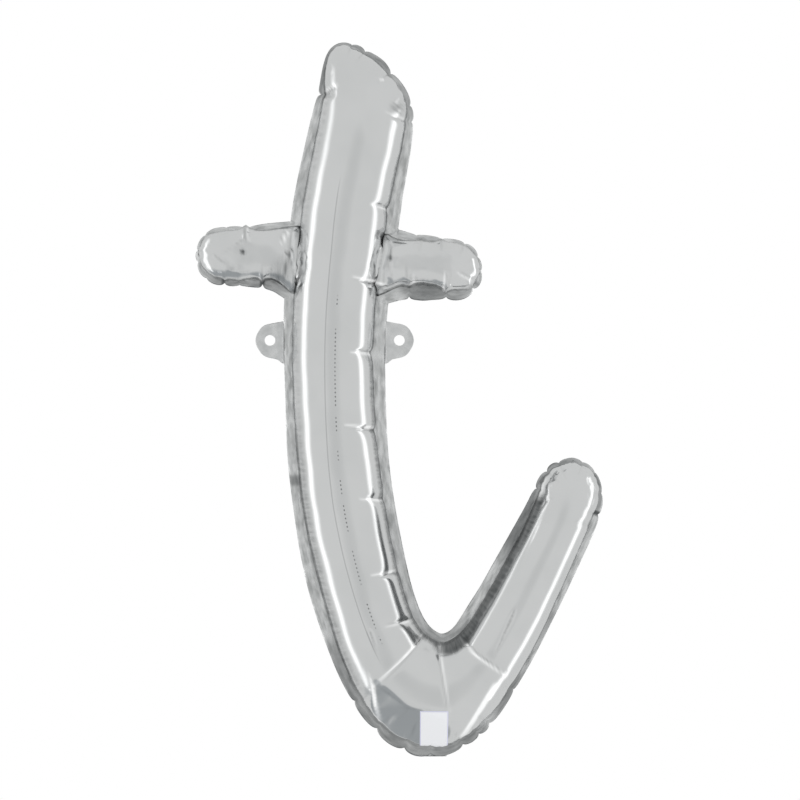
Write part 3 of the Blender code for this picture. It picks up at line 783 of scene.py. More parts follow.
def faceted(place, height):
    """The film's height cut down softly by the planes of its flat places: each cut is the smooth least of
    the two, -s log(exp(-height / s) + exp(-plane / s))."""
    for x, z, middle, slope_x, slope_z, softness in FACETS:
        plane = middle * MM + slope_x * (place[:, 0] - x * MM) + slope_z * (place[:, 1] - z * MM)
        soft = softness * MM
        lowered = -soft * np.logaddexp(-height / soft, -plane / soft)
        reach = ramp(place[:, 1], BOWL_TOP_Z, BOWL_TOP_Z - 15 * MM) * ramp(height, 0, 4 * MM)
        reach *= ramp(place[:, 0], FACETS_LEFT, FACETS_LEFT + 2.5 * MM)
        height = height + (lowered - height) * reach
    return height


def fold_depth(place, folds):
    """How far folds push the film in at each (x, z), how dark the painted shade in them is, and how bright
    the painted glint is on one side of them. Along a fold the push falls to nothing at its end and the
    fold gets narrower. Across it the push is a sharp valley, exp(-distance / width), in a wide shallow
    one, exp(-(distance / width)^2)."""
    push, dark, bright = np.zeros((3, len(place)))
    for start_x, start_z, end_x, end_z, depth, width, lean, head, glint in folds:
        start = np.array([start_x, start_z]) * MM
        line = np.array([end_x, end_z]) * MM - start
        length = np.linalg.norm(line)
        share = (place - start) @ line / length**2
        across = (place - start) @ np.array([-line[1], line[0]]) / length
        left = np.clip(1 - share, 0, 1)
        spread = width * MM * (0.3 + 0.7 * left) * (1 + lean * np.sign(across))
        strength = left**0.8 * (head + (1 - head) * np.clip(3 * share, 0, 1)) * np.clip(1 + share * 4, 0, 1)
        distance = np.abs(across) / spread
        valley = SHARP_SHARE * np.exp(-distance) + (1 - SHARP_SHARE) * bell(distance, SHALLOW_WIDTH)
        push += depth * MM * strength * valley
        dark += min(depth * FOLD_DARKNESS, FOLD_DARKEST) * strength * bell(across, FOLD_DARK_WIDTH)
        bright += abs(glint) * strength**0.5 * bell(across * np.sign(glint) - GLINT_DISTANCE, GLINT_WIDTH)
    return push * FOLD_GAIN, np.clip(dark, 0, 0.8), np.clip(bright, 0, 1)


def ripples(place, seed, wavelengths, height):
    """A gentle unevenness: sine waves in drawn directions, with wavelengths between the two. Wavelengths
    and height are in millimetres."""
    draw = np.random.default_rng(seed)
    total = np.zeros(len(place))
    for _ in range(9):
        heading, phase = draw.uniform(0, 2 * math.pi, 2)
        wavelength = draw.uniform(wavelengths[0] * MM, wavelengths[1] * MM)
        along = place @ np.array([math.cos(heading), math.sin(heading)])
        total += np.sin(2 * math.pi * along / wavelength + phase)
    return total * (height * MM) / 3


def crumple(place, seed, wavelengths, height):
    """Small sharp creases: ridges where bent sine waves cross zero, (1 - |sin|)^3, in drawn directions.
    Wavelengths and height are in millimetres."""
    draw = np.random.default_rng(seed)
    total = np.zeros(len(place))
    for _ in range(6):
        heading, phase, bend = draw.uniform(0, 2 * math.pi, 3)
        wavelength = draw.uniform(wavelengths[0] * MM, wavelengths[1] * MM)
        along = place @ np.array([math.cos(heading), math.sin(heading)])
        beside = place @ np.array([-math.sin(heading), math.cos(heading)])
        warp = 0.9 * np.sin(2 * math.pi * beside / (wavelength * 2.3) + bend)
        total += (1 - np.abs(np.sin(math.pi * along / wavelength + phase + warp))) ** 3
    return total * (height * MM) / 3


def inside(points, polygon):
    """Which points lie inside a closed line: a ray from the point crosses it an odd number of times."""
    x, z = points[:, 0, None], points[:, 1, None]
    start, end = polygon, np.roll(polygon, -1, axis=0)
    spans = (start[None, :, 1] > z) != (end[None, :, 1] > z)
    rise = np.where(end[:, 1] == start[:, 1], 1e-12, end[:, 1] - start[:, 1])
    crossing = start[None, :, 0] + (z - start[None, :, 1]) / rise[None] * (end[:, 0] - start[:, 0])[None]
    return (spans & (x < crossing)).sum(axis=1) % 2 == 1


def seam_loop(rows, clockwise):
    """A tube's seam as a closed line, evenly spaced, turning anticlockwise: x, z, width of the welded
    edge, and the direction straight out of it."""
    outer = rows[:, [OUTER_X, OUTER_Z, OUTER_EDGE]]
    inner = rows[-2:0:-1, [INNER_X, INNER_Z, INNER_EDGE]]
    loop = np.vstack([outer, inner])
    if clockwise:
        loop = loop[::-1]
    loop = np.vstack([loop, loop[:1]])
    along = lengths_along(loop[:, :2])
    loop = read_at(np.arange(0, along[-1], EDGE_SPACING), along, loop)
    loop = bell_average(loop, 2.0, closed=True)
    ahead = unit(np.roll(loop[:, :2], -2, axis=0) - np.roll(loop[:, :2], 2, axis=0))
    return np.column_stack([loop, ahead[:, 1], -ahead[:, 0]])


def stretches(loop, other):
    """The parts of a loop outside the other loop, each in order, with its line of outer edge points.
    Beside a corner the outer edge would run into the other loop's welded edge, so it stays at the first
    clear point."""
    clear = ~inside(loop[:, :2], other[:, :2])
    starts = np.flatnonzero(clear & ~np.roll(clear, 1))
    edge = loop[:, :2] + loop[:, 3:5] * loop[:, 2:3]
    other_edge = other[:, :2] + other[:, 3:5] * other[:, 2:3]
    found = []
    for start in starts:
        order = np.roll(np.arange(len(loop)), -start)
        order = order[: np.argmin(clear[order])]
        free = np.flatnonzero(~inside(edge[order], other_edge))
        held = np.clip(np.arange(len(order)), free[0], free[-1])
        found.append((loop[order], edge[order][held]))
    return found


def letter_outline(stem, crossbar):
    """The whole seam as one closed line round the letter: the parts of both tubes' seams outside each
    other, joined at the four inner corners. Holds the seam, the welded edge's rim and the outward
    direction."""
    stem_loop, bar_loop = seam_loop(stem, False), seam_loop(crossbar, True)
    upper, lower = sorted(stretches(stem_loop, bar_loop), key=lambda part: -part[0][:, 1].mean())
    left, right = sorted(stretches(bar_loop, stem_loop), key=lambda part: part[0][:, 0].mean())
    parts = [upper, left, lower, right]
    for here in range(4):
        before, after = parts[here - 1], parts[here]
        corner = (before[0][-1, :2] + after[0][0, :2]) / 2
        rim_corner = (before[1][-1] + after[1][0]) / 2
        before[0][-1, :2] = after[0][0, :2] = corner
        before[1][-1] = after[1][0] = rim_corner
    line = np.vstack([part[0][:-1] for part in parts])
    rim = np.vstack([part[1][:-1] for part in parts])
    return {"seam": line[:, :2], "rim": rim, "outward": unit(bell_average(line[:, 3:5], 1.5, closed=True))}


def edge_form(seam, pleats):
    """For each point of the seam: the distance along it, how far the welded edge's rim stands out from its
    plain shape, and how far it leaves the seam's plane. The rim is drawn in at each pleat by
    exp(-distance / (0.7 width)) and swells out by a half sine between two close ones. Between any two it
    bows to the front or to the back by a half sine, less where they stand far apart. It is wavy everywhere
    and twisted at one place."""
    draw = np.random.default_rng(11)
    along = lengths_along(np.vstack([seam, seam[:1]]))
    length, along = along[-1], along[:-1]
    x, z, _, depth, width, _ = np.array(pleats).T * MM
    stops = along[nearest_points(np.stack([x, z], axis=1), seam)]
    order = np.argsort(stops)
    stops, depth, width = stops[order], depth[order], width[order]
    apart = np.abs((along[:, None] - stops[None] + length / 2) % length - length / 2)
    notch = (depth * NOTCH_SHARE * np.exp(-apart / (0.7 * width))).sum(axis=1)
    before = (np.searchsorted(stops, along, side="right") - 1) % len(stops)
    gap = (np.roll(stops, -1) - stops) % length
    arch = np.sin(math.pi * ((along - stops[before]) % length) / gap[before])
    swell = SWELL_SHARE * (depth + np.roll(depth, -1))[before] * arch * (gap[before] < SWELL_GAP)
    bow = draw.uniform(*EDGE_BOW, len(stops)) * np.where(np.arange(len(stops)) % 2, 1, -1) * MM
    bow *= np.clip(FULL_BOW_GAP / gap, 0, 1)
    circle = np.stack([np.cos(2 * math.pi * along / length), np.sin(2 * math.pi * along / length)], axis=1)
    circle *= length / (2 * math.pi)
    wave = bow[before] * arch + ripples(circle, 3, (14, 45), 0.45)
    wave += ripples(circle, 4, (5, 11), 0.14)
    twist = bell(seam[:, 1] - TWIST_Z, TWIST_REACH) * (seam[:, 0] < 0)
    wave += twist * TWIST_HEIGHT * np.sin(seam[:, 1] / (6.5 * MM))
    return along, swell - notch, wave


def edge_shade(rim):
    """How dark the painted shade on the welded edge is at each point of its rim: the strongest of its
    shades, strength exp(-(distance / reach)^4)."""
    shade_rows = np.array(EDGE_SHADES)
    away = np.linalg.norm(rim[:, None] - shade_rows[None, :, :2] * MM, axis=2)
    return (shade_rows[:, 3] * np.exp(-((away / (shade_rows[:, 2] * MM)) ** 4))).max(axis=1)


def clear_of_tabs(rim):
    """The rim, held clear of the tabs' fold lines at the tabs' height."""
    beside_tab = (rim[:, 1] > TAB_BOTTOM) & (rim[:, 1] < TAB_TOP)
    stop = TAB_FOLD_X - 1.2 * BEAD_RADIUS
    held = np.where(beside_tab, np.clip(rim[:, 0], -stop, stop), rim[:, 0])
    return np.stack([held, rim[:, 1]], axis=1)


def make_edge(outline, pleats, material):
    """The welded edge: points from inside the seam to the rim, for each point of the outline. They leave
    the seam's plane more towards the rim."""
    seam, rim, outward = outline["seam"], outline["rim"], outline["outward"]
    along, stands_out, wave = edge_form(seam, pleats)
    fringe = clear_of_tabs(rim + outward * stands_out[:, None])
    share = np.linspace(0, 1, EDGE_ACROSS)[None, :, None]
    grid = (seam - outward * EDGE_INSET)[:, None] * (1 - share) + fringe[:, None] * share
    lift = ramp(share[..., 0], 0.25, 1.0) ** 1.4 * wave[:, None]
    points = np.stack([grid[..., 0], lift, grid[..., 1]], axis=-1)
    index = np.arange(lift.size).reshape(lift.shape)
    index = np.vstack([index, index[:1]])
    uv = np.stack(np.broadcast_arrays(share[..., 0] * 10 * MM, along[:, None]), axis=-1)
    edge = new_piece("welded_edge", points.reshape(-1, 3), [grid_faces(index)], material, uv.reshape(-1, 2))
    # Painted shade where the welded edge faces away from the light.
    with_values(edge, "shade", np.repeat(edge_shade(rim), EDGE_ACROSS))
    settle(with_wall(edge, EDGE_THICKNESS, 0), "balloon", "seam_flange")


def seam_band(band, edge, where):
    """A band of painted shade beside the seam: strength exp(-(edge / reach)^sharpness) where it applies."""
    strength, reach, sharpness = band
    return strength * where * np.exp(-((edge / (reach * MM)) ** sharpness))


def seam_shade(place, height, edge, uv, gather):
    """How much painted shade darkens the film's foot beside the seam, where it faces the welded edge: the
    strongest of the bands. A thin line runs all round, fainter where the edge is gathered; a tenth of the
    height counts as distance, so it stays off the arms' roots. The other bands lie on the inner side of
    stem, tail and bend, and low on the outer side, with a soft painted shade between the seam and the
    highlight there."""
    x, z = place.T / MM
    inner = (uv[:, 0] > 0) & (uv[:, 0] < ARM_MAP_OFFSET / 2)
    line = seam_band(LINE_BAND, np.maximum(edge, height * 0.1), 1 - 0.6 * np.clip(gather, 0, 1))
    facing = seam_band(STEM_BAND, edge, inner * ramp(z, -10, -20) * (x < 86))
    wider = 1 + TAIL_BAND_WIDENING * bell(x - 102, 13) * (z < -235)
    facing += seam_band(TAIL_BAND, edge / wider, inner * ramp(x, 80, 94) * ramp(z, -126, -134))
    bend = seam_band(BEND_BAND, edge, inner * (x > 60) * (x < 112) * (z < -225))
    outer = (uv[:, 0] < 0) * (x < 60) * ramp(z, -300, -280) * ramp(z, 215, 195)
    low = outer * ramp(z, -60, -90)
    soft = (SOFT_SHADE * outer + SOFT_SHADE_LOW * low) * bell(edge - 4.4 * MM, 2.7 * MM)
    return np.maximum.reduce([line, facing, bend, seam_band(OUTER_BAND, edge, low), soft])


def crumpled_places(place, height, edge, uv, gather):
    """How strong each row of CRUMPLES is at each point: where the edge is gathered, but not inside the bowl;
    on the arms; at the arms' roots; and beside the seam."""
    to_seam = np.maximum(edge, height * 0.5)
    outside = (uv[:, 0] < 0) | (uv[:, 0] > ARM_MAP_OFFSET / 2) | (place[:, 1] > BOWL_TOP_Z)
    gathered = np.clip(gather, 0, 1) * np.exp(-to_seam / (9 * MM)) * outside
    beside_stem = ramp(np.abs(place[:, 0] - 4 * MM), 36 * MM, 48 * MM)
    on_arm = beside_stem * (place[:, 1] > 30 * MM) * (place[:, 1] < 110 * MM)
    at_root = sum(np.exp(-((distance_to(place, x, z) / (reach * MM)) ** 4)) for x, z, reach in ROOTS)
    return gathered, on_arm, at_root, np.exp(-to_seam / (5 * MM))


def puckered_places(place, height, edge, uv):
    """How strong the fine puckers are: beside the seam, and further in low on the inner side."""
    low_inside = (uv[:, 0] > 0) & (uv[:, 0] < ARM_MAP_OFFSET / 2) & (place[:, 1] < -120 * MM)
    beside_seam = np.exp(-np.maximum(edge, height * 0.5) / (7 * MM))
    return np.maximum(beside_seam, seam_band(LOW_PUCKERS, edge, low_inside))


def back_folds(folds):
    """The back film's folds: a little shallower and wider, ending a little aside, with lean and glint on the
    other side. Rows that only paint a glint have none here."""
    turned = folds * (1, 1, 1, 1, 0.9, 1.1, -1, 1, -1) + (0, 0, 1.5, 2.5, 0, 0, 0, 0, 0)
    turned[:, 8] *= folds[:, 4] > 0
    return turned


def pressed_in(film, points, push):
    """The film's points moved in along its normals."""
    normals = np.empty(len(points) * 3, np.float32)
    film.data.vertices.foreach_get("normal", normals)
    return points - normals.reshape(-1, 3) * push[:, None]


def make_films(stem, along, crossbar, outline):
    """Both films, from one surface. Each point is pushed in along its normal by folds, a gentle unevenness
    and crumples. Points on the seam stay in its plane, where the films meet. Painted shades, painted
    glints and puckers reach the material as values of each point."""
    sheet, quads, fans = film_surface(stem, along, crossbar)
    place, height, uv, edge, gather = sheet[:, :2], sheet[:, 2], sheet[:, 3:5], sheet[:, 5], sheet[:, 6]
    folds = np.vstack([pleat_folds(outline, PLEATS), np.array(FOLDS)])
    height = faceted(place, height)
    on_seam = height < 1e-9
    shade = seam_shade(place, height, edge, uv, gather)
    # Painted shade in pits and in soft patches.
    for x, z, reach, strength in SHADE_SPOTS:
        shade += strength * bell(distance_to(place, x, z), reach * MM)
    crumpled = crumpled_places(place, height, edge, uv, gather)
    puckered = puckered_places(place, height, edge, uv)
    seam_line = None
    for name, side, creases, seed in (("front_film", -1, folds, 21), ("back_film", 1, back_folds(folds), 31)):
        push, dark, bright = fold_depth(place, creases)
        push += ripples(place, seed, (28, 80), 0.22)
        for (step, shortest, longest, size), where in zip(CRUMPLES, crumpled):
            push += crumple(place, seed + step, (shortest, longest), size) * where
        points = np.stack([place[:, 0], side * height, place[:, 1]], axis=-1)
        faces = (quads, fans) if side < 0 else (quads[:, ::-1], fans[:, ::-1])
        film = new_piece(f"{name}_foil", points, faces, foil(name, side < 0), uv)
        moved = pressed_in(film, points, push)
        moved[on_seam, 1] = 0
        if seam_line is None:
            seam_line = moved[on_seam]
        moved[on_seam] = seam_line
        film.data.vertices.foreach_set("co", moved.astype(np.float32).ravel())
        film.data.update()
        # Painted shade of seam, folds and pits, and painted glints beside the folds.
        with_values(film, "shade", np.clip(shade + dark, 0, 0.95))
        with_values(film, "glint", bright * (1 - shade))
        with_values(film, "pucker", puckered)
        settle(with_wall(film, FILM_WALL, -1), "balloon", name)


def rounded(corners):
    """A closed outline through the corners in millimetres, each cut back by an arc of its radius: the
    curve start (1 - t)^2 + 2 corner t (1 - t) + end t^2 between the places where the arc meets the
    straight sides."""
    place, radius = np.array(corners)[:, :2], np.array(corners)[:, 2, None]
    before, after = unit(np.roll(place, 1, axis=0) - place), unit(np.roll(place, -1, axis=0) - place)
    half = np.arccos(np.clip((before * after).sum(axis=1), -1, 1))[:, None] / 2
    start, end = place + before * radius / np.tan(half), place + after * radius / np.tan(half)
    t = np.linspace(0, 1, 9)[None, :, None]
    curve = start[:, None] * (1 - t) ** 2 + 2 * place[:, None] * t * (1 - t) + end[:, None] * t**2
    return curve.reshape(-1, 2)


def make_tab(side, material):
    """A hanging tab as rings from its punched hole out to its outline, evenly spaced along rays from the
    hole's centre. It is a little wavy towards its outline, and a narrow ring is pressed in round the
    hole. Side is -1 on the left and 1 on the right."""
    name = "left" if side < 0 else "right"
    outline = rounded(TAB_CORNERS) * MM
    outline[:, 0] += TAB_FOLD_X - TAB_HOLE_X
    outline = np.vstack([outline, outline[:1]])
    along = lengths_along(outline)
    outline = read_at(np.linspace(0, along[-1], 600)[:-1], along, outline)
    bearing = np.arctan2(outline[:, 1], outline[:, 0])
    order = np.argsort(bearing)
    turn = np.linspace(-math.pi, math.pi, 145)[:-1]
    reach = np.interp(turn, bearing[order], np.linalg.norm(outline[order], axis=1), period=2 * math.pi)
    hole = TAB_HOLE_DIAMETER / 2
    share = np.linspace(0, 1, 15)[:, None]
    radius = hole + (reach[None] - hole) * share
    x = TAB_HOLE_X + radius * np.cos(turn)
    z = radius * np.sin(turn)
    flat = np.stack([side * x.ravel(), z.ravel()], axis=1)
    y = ripples(flat, 41 + side, (8, 26), 0.35).reshape(x.shape)
    y += ripples(flat, 45 + side, (3, 7), 0.07).reshape(x.shape)
    y *= share * ramp(x, TAB_FOLD_X, TAB_FOLD_X + 4 * MM)
    y += TAB_RING_DEPTH * bell(radius - hole - TAB_RING_DISTANCE, TAB_RING_WIDTH)
    points = np.stack([side * x, y, z], axis=-1).reshape(-1, 3)
    tab = new_piece(f"{name}_tab_film", points, [grid_faces(closed_index(x.shape)[:, ::side])], material)
    settle(with_wall(tab, TAB_WALL, 0), f"{name}_tab", f"{name}_hanging_tab")
    bead = turned_bead(side * TAB_FOLD_X, TAB_BOTTOM, TAB_TOP, BEAD_RADIUS)
    settle(new_piece(f"{name}_tab_bead", *bead, material), f"{name}_tab", "")


def turned_bead(x, bottom, top, radius):
    """An upright bead in the plane y = 0 with rounded ends: radius sqrt(1 - share^8) at each height share
    from its middle. The points and faces, closed by fans."""
    share = np.sin(np.linspace(-math.pi / 2, math.pi / 2, 41))[1:-1, None]
    turn = np.linspace(0, 2 * math.pi, 13)[None, :-1]
    swell = radius * np.sqrt(1 - share**8)
    z = (top + bottom) / 2 + (top - bottom) / 2 * share + 0 * turn
    points = np.stack([x + swell * np.cos(turn), swell * np.sin(turn), z], axis=-1)
    index = closed_index(z.shape)
    points = np.vstack([points.reshape(-1, 3), [[x, 0, bottom], [x, 0, top]]])
    faces = [grid_faces(index[:, ::-1]), fan_faces(z.size, index[0, ::-1]), fan_faces(z.size + 1, index[-1])]
    return points, faces


def neck_points(beside, angle, lift):
    """Points lifted off the neck's arc away from the balloon. The arc is an ellipse from below the seam
    (angle 0) round towards the back."""
    drop = NECK_FOLD_Z - NECK_ARC_CENTRE_Z
    place = np.stack([NECK_ARC_DEPTH * np.sin(angle), NECK_ARC_CENTRE_Z + drop * np.cos(angle)], axis=-1)
    away = unit(np.stack([-drop * np.sin(angle), -NECK_ARC_DEPTH * np.cos(angle)], axis=-1))
    middle = place + away * lift[..., None]
    return np.stack([NECK_X + beside + 0 * angle, middle[..., 0], middle[..., 1]], axis=-1).reshape(-1, 3)


def make_sleeve(material):
    """The inflation neck: a flat sleeve whose section is a lens, width cos s by sin s (1 - 0.88 cos^6 s),
    so its edges are almost flat. It is thinnest at its root, and a little uneven."""
    angle = np.linspace(0, NECK_ARC_END, 61)[:, None]
    turn = np.linspace(0, 2 * math.pi, 65)[None, :-1]
    beside = NECK_WIDTH / 2 * np.cos(turn) + 0 * angle
    flat = np.stack([beside.ravel(), np.broadcast_to(angle * NECK_ARC_DEPTH, beside.shape).ravel()], axis=1)
    lift = np.sin(turn) * (0.12 + 0.88 * (1 - np.cos(turn) ** 6)) * NECK_THICKNESS / 2
    lift = lift * (0.15 + 0.85 * ramp(angle, 0, 0.2))
    lift = lift + ripples(flat, 51, (6, 20), 0.16).reshape(beside.shape) * np.sin(angle * 1.4)
    faces = [grid_faces(closed_index(lift.shape))]
    sleeve = new_piece("inflation_sleeve", neck_points(beside, angle, lift), faces, material)
    settle(with_wall(sleeve, NECK_WALL, -1), "neck", "inflation_neck")


def make_valve(material):
    """The thin valve film inside the sleeve. Its free end looks out of the sleeve and lifts a little."""
    angle = np.linspace(VALVE_START, VALVE_END, 41)[:, None]
    beside = np.linspace(-VALVE_WIDTH / 2, VALVE_WIDTH / 2, 17)[None, :]
    lift = 0.12 * MM * np.sin(beside / (2.1 * MM)) + 0.5 * MM * ramp(angle, NECK_ARC_END, VALVE_END) ** 2
    faces = [grid_faces(np.arange(lift.size).reshape(lift.shape))]
    valve = new_piece("valve_tongue", neck_points(beside, angle, lift), faces, material)
    settle(with_wall(valve, VALVE_WALL, 0), "neck", "valve_film")


class Nodes:
    """The nodes of one material, world or light. What goes into a node is a plain value or another node's
    output, and most methods return the output of the node that they add."""

    def __init__(self, tree):
        self.tree = tree

    def feed(self, node, inputs):
        """Sets a node's inputs by name or number, or links them."""
        for key, value in inputs.items():
            if isinstance(value, bpy.types.NodeSocket):
                self.tree.links.new(value, node.inputs[key])
            else:
                node.inputs[key].default_value = value

    def add(self, kind, inputs=None, **settings):
        """A new node of a kind, with its settings and inputs."""
        node = self.tree.nodes.new(f"ShaderNode{kind}")
        for key, value in settings.items():
            setattr(node, key, value)
        self.feed(node, inputs or {})
        return node

    def maths(self, operation, *values, clamp=False):
        return self.add("Math", dict(enumerate(values)), operation=operation, use_clamp=clamp).outputs[0]

    def times(self, first, *others):
        for other in others:
            first = self.maths("MULTIPLY", first, other)
        return first

    def plus(self, first, second):
        return self.maths("ADD", first, second)

    def rise(self, value, start, end):
        return self.fade(value, start, end, 0.0, 1.0)

    def fade(self, value, start, end, low=1.0, high=0.0):
        """Goes from low at start to high at end, and stays there outside them."""
        keys = {"Value": value, "From Min": start, "From Max": end, "To Min": low, "To Max": high}
        return self.add("MapRange", keys).outputs["Result"]

    def within(self, value, low, high, soft):
        """1 between low and high, falling to 0 over soft on both sides."""
        return self.times(self.rise(value, low - soft, low), self.fade(value, high, high + soft))

    def noise(self, vector, scale, detail=2.0):
        return self.add("TexNoise", {"Vector": vector, "Scale": scale, "Detail": detail}).outputs["Fac"]

    def mixed(self, amount, first, second):
        """Two colours mixed. Sockets 0, 6 and 7 are the amount and the colours, and 2 is the result."""
        return self.add("Mix", {0: amount, 6: first, 7: second}, data_type="RGBA").outputs[2]

    def attribute(self, name):
        return self.add("Attribute", attribute_name=name).outputs["Fac"]

    def place(self):
        """The place on the object, in metres."""
        return self.add("TexCoord").outputs["Object"]

    def mapped(self):
        """The place on the piece's map, in metres: across and along."""
        return tuple(self.split(self.add("TexCoord").outputs["UV"]))[:2]

    def split(self, vector):
        return self.add("SeparateXYZ", {0: vector}).outputs

    def vector(self, x, y=0.0):
        return self.add("CombineXYZ", {0: x, 1: y}).outputs[0]

    def bump(self, height, strength, distance):
        return self.add("Bump", {"Height": height, "Strength": strength, "Distance": distance}).outputs[0]


def new_material(name):
    """A new material, its nodes and its shader."""
    material = bpy.data.materials.new(name)
    material.use_nodes = True
    return material, Nodes(material.node_tree), material.node_tree.nodes["Principled BSDF"]


def frayed(nodes, shade, puckers):
    """A shade whose half-dark borders are broken up by the puckers: shade + shade (1 - shade) drift."""
    border = nodes.times(shade, nodes.maths("SUBTRACT", 1.0, shade))
    drift = nodes.fade(puckers, 0.36, 0.64, -FRAYING, FRAYING)
    return nodes.maths("ADD", shade, nodes.times(border, drift), clamp=True)


def packet_marks(nodes, across, along):
    """Masks of the line pressed into the film in its packet, and of the broken row of pinpricks beside it."""
    drift = nodes.times(nodes.maths("SINE", nodes.times(along, PRESSED_WAVE)), PRESSED_DRIFT)
    bent = nodes.plus(across, drift)
    pressed = nodes.within(bent, PRESSED_LINE - 0.2 * MM, PRESSED_LINE + 0.2 * MM, 0.45 * MM)
    pressed = nodes.times(pressed, nodes.within(along, *PRESSED_SPAN, 20 * MM))
    beat = nodes.maths("SINE", nodes.times(along, 2 * math.pi / PINPRICK_SPACING))
    broken = nodes.noise(nodes.vector(along), PINPRICK_GROUPS, 0.0)
    pricked = nodes.times(
        nodes.within(bent, PINPRICK_LINE - 0.25 * MM, PINPRICK_LINE + 0.25 * MM, 0.35 * MM),
        nodes.rise(beat, 0.1, 0.6),
        nodes.rise(broken, 0.45, 0.51),
        nodes.within(along, *PINPRICK_SPAN, 6 * MM),
    )
    return pressed, pricked


def panel_masks(nodes, place):
    """Masks of the printed panel on the front film, and of its field inside the border."""
    x, y, z = nodes.split(place)
    left, right, bottom, top = PANEL
    panel, field = (
        nodes.times(
            nodes.within(x, left + border, right - border, 0.1 * MM),
            nodes.within(z, bottom + border, top - border, 0.1 * MM),
        )
        for border in (0.0, PANEL_BORDER_WIDTH)
    )
    return nodes.times(panel, nodes.fade(y, -2 * MM, -1 * MM)), field


def foil(name, with_panel):
    """Bright metallised film: a mirror with faint smudges and a fine unevenness, darker and duller where
    painted shade lies at the seam, in folds and in pits, with the marks of its packet. The front film has
    the panel."""
    material, nodes, shader = new_material(f"{name}_silver")
    place = nodes.place()
    across, along = nodes.mapped()
    smudge = nodes.noise(place, 22.0, 3.0)
    puckers = nodes.noise(nodes.vector(nodes.times(across, PUCKER_LENGTHENING), along), PUCKER_SCALE)
    # Painted shade from the shade attribute: bands at the seam, fold valleys and pits, frayed by puckers.
    painted_shade = frayed(nodes, nodes.attribute("shade"), puckers)
    pressed, pricked = packet_marks(nodes, across, along)
    colour = nodes.mixed(nodes.fade(smudge, 0.40, 0.72, 0.0, 0.55), FOIL, FOIL_DULL)
    for amount in (nodes.times(pressed, PRESSED_SHADE), nodes.times(pricked, PINPRICK_SHADE), painted_shade):
        colour = nodes.mixed(amount, colour, FOIL_IN_SHADE)
    roughness = nodes.plus(nodes.fade(smudge, 0.35, 0.75, 0.12, 0.19), nodes.times(painted_shade, 0.25))
    # Painted highlight: the glints beside creases glow faintly.
    glow = nodes.times(nodes.attribute("glint"), GLINT_LIGHT)
    metallic = 1.0
    if with_panel:
        panel, field = panel_masks(nodes, place)
        colour = nodes.mixed(panel, colour, nodes.mixed(field, PANEL_BORDER, PANEL_WHITE))
        roughness = nodes.add("Mix", {0: panel, 2: roughness, 3: 0.5}).outputs[0]
        metallic = nodes.maths("SUBTRACT", 1.0, panel)
        # Painted light: the white panel glows faintly.
        glow = nodes.plus(glow, nodes.times(panel, PANEL_LIGHT))
    relief = nodes.times(nodes.noise(place, 160.0, 3.0), 0.35)
    relief = nodes.plus(relief, nodes.times(puckers, nodes.attribute("pucker"), PUCKER_RELIEF))
    relief = nodes.maths("SUBTRACT", relief, nodes.times(pressed, 0.6))
    nodes.feed(shader, {
        "Base Color": colour,
        "Roughness": roughness,
        "Metallic": metallic,
        "Emission Color": (1, 1, 1, 1),
        "Emission Strength": glow,
        "Normal": nodes.bump(relief, 0.25, 0.25 * MM),
    })
    return material


def welded_film(name, light, dark, streaked=False):
    """Two films welded together: satin, mottled where the tool pressed them unevenly, with fine puckers.
    On the edge the mottling is drawn out into streaks along the seam, and painted shade darkens it where
    its attribute says."""
    material, nodes, shader = new_material(name)
    place = nodes.place()
    if streaked:
        across, along = nodes.mapped()
        patches = nodes.noise(nodes.vector(nodes.times(across, 3.2), nodes.times(along, 0.55)), 130.0, 4.0)
    else:
        patches = nodes.noise(place, 130.0, 4.0)
    colour = nodes.mixed(nodes.rise(patches, 0.36, 0.66), light, dark)
    colour = nodes.mixed(nodes.fade(nodes.noise(place, 32.0), 0.45, 0.7, 0.0, 0.5), colour, light)
    relief = nodes.plus(nodes.noise(place, 420.0, 3.0), nodes.times(patches, 2.0))
    nodes.feed(shader, {
        "Base Color": nodes.mixed(nodes.attribute("shade"), colour, FOIL_IN_SHADE),
        "Roughness": nodes.fade(patches, 0.3, 0.7, 0.22, 0.42),
        "Metallic": 1.0,
        "Normal": nodes.bump(relief, 0.5, 0.3 * MM),
    })
    return material


def clear_film():
    """The valve's thin clear plastic, slightly milky, with a fine haze."""
    material, nodes, shader = new_material("valve_clear_film")
    haze = nodes.noise(nodes.place(), 90.0, 3.0)
    nodes.feed(shader, {
        "Base Color": nodes.mixed(haze, MILKY_DARK, MILKY_LIGHT),
        "Roughness": nodes.fade(haze, 0.3, 0.7, 0.18, 0.4),
        "Transmission Weight": 0.55,
        "IOR": 1.45,
    })
    return material


def make_world():
    """White behind the object, and for reflections a pale grey studio that is dark below on the left and
    a little darker straight in front of the letter."""
    world = bpy.data.worlds.new("studio")
    bpy.context.scene.world = world
    world.use_nodes = True
    world.node_tree.nodes.clear()
    nodes = Nodes(world.node_tree)
    direction = nodes.add("TexCoord").outputs["Generated"]
    below = nodes.add("VectorMath", {0: direction, 1: DARK_BELOW}, operation="DOT_PRODUCT").outputs["Value"]
    around = nodes.mixed(nodes.rise(below, 0.79, 0.93), STUDIO, STUDIO_BELOW)
    around = nodes.mixed(nodes.fade(nodes.split(direction)[1], -1.0, -0.93, 0.35, 0.0), around, STUDIO_FRONT)
    studio = nodes.add("Background", {0: around}).outputs[0]
    behind = nodes.add("Background", {0: (1, 1, 1, 1)}).outputs[0]
    to_camera = nodes.add("LightPath").outputs["Is Camera Ray"]
    both = nodes.add("MixShader", {0: to_camera, 1: studio, 2: behind}).outputs[0]
    nodes.add("OutputWorld", {0: both})


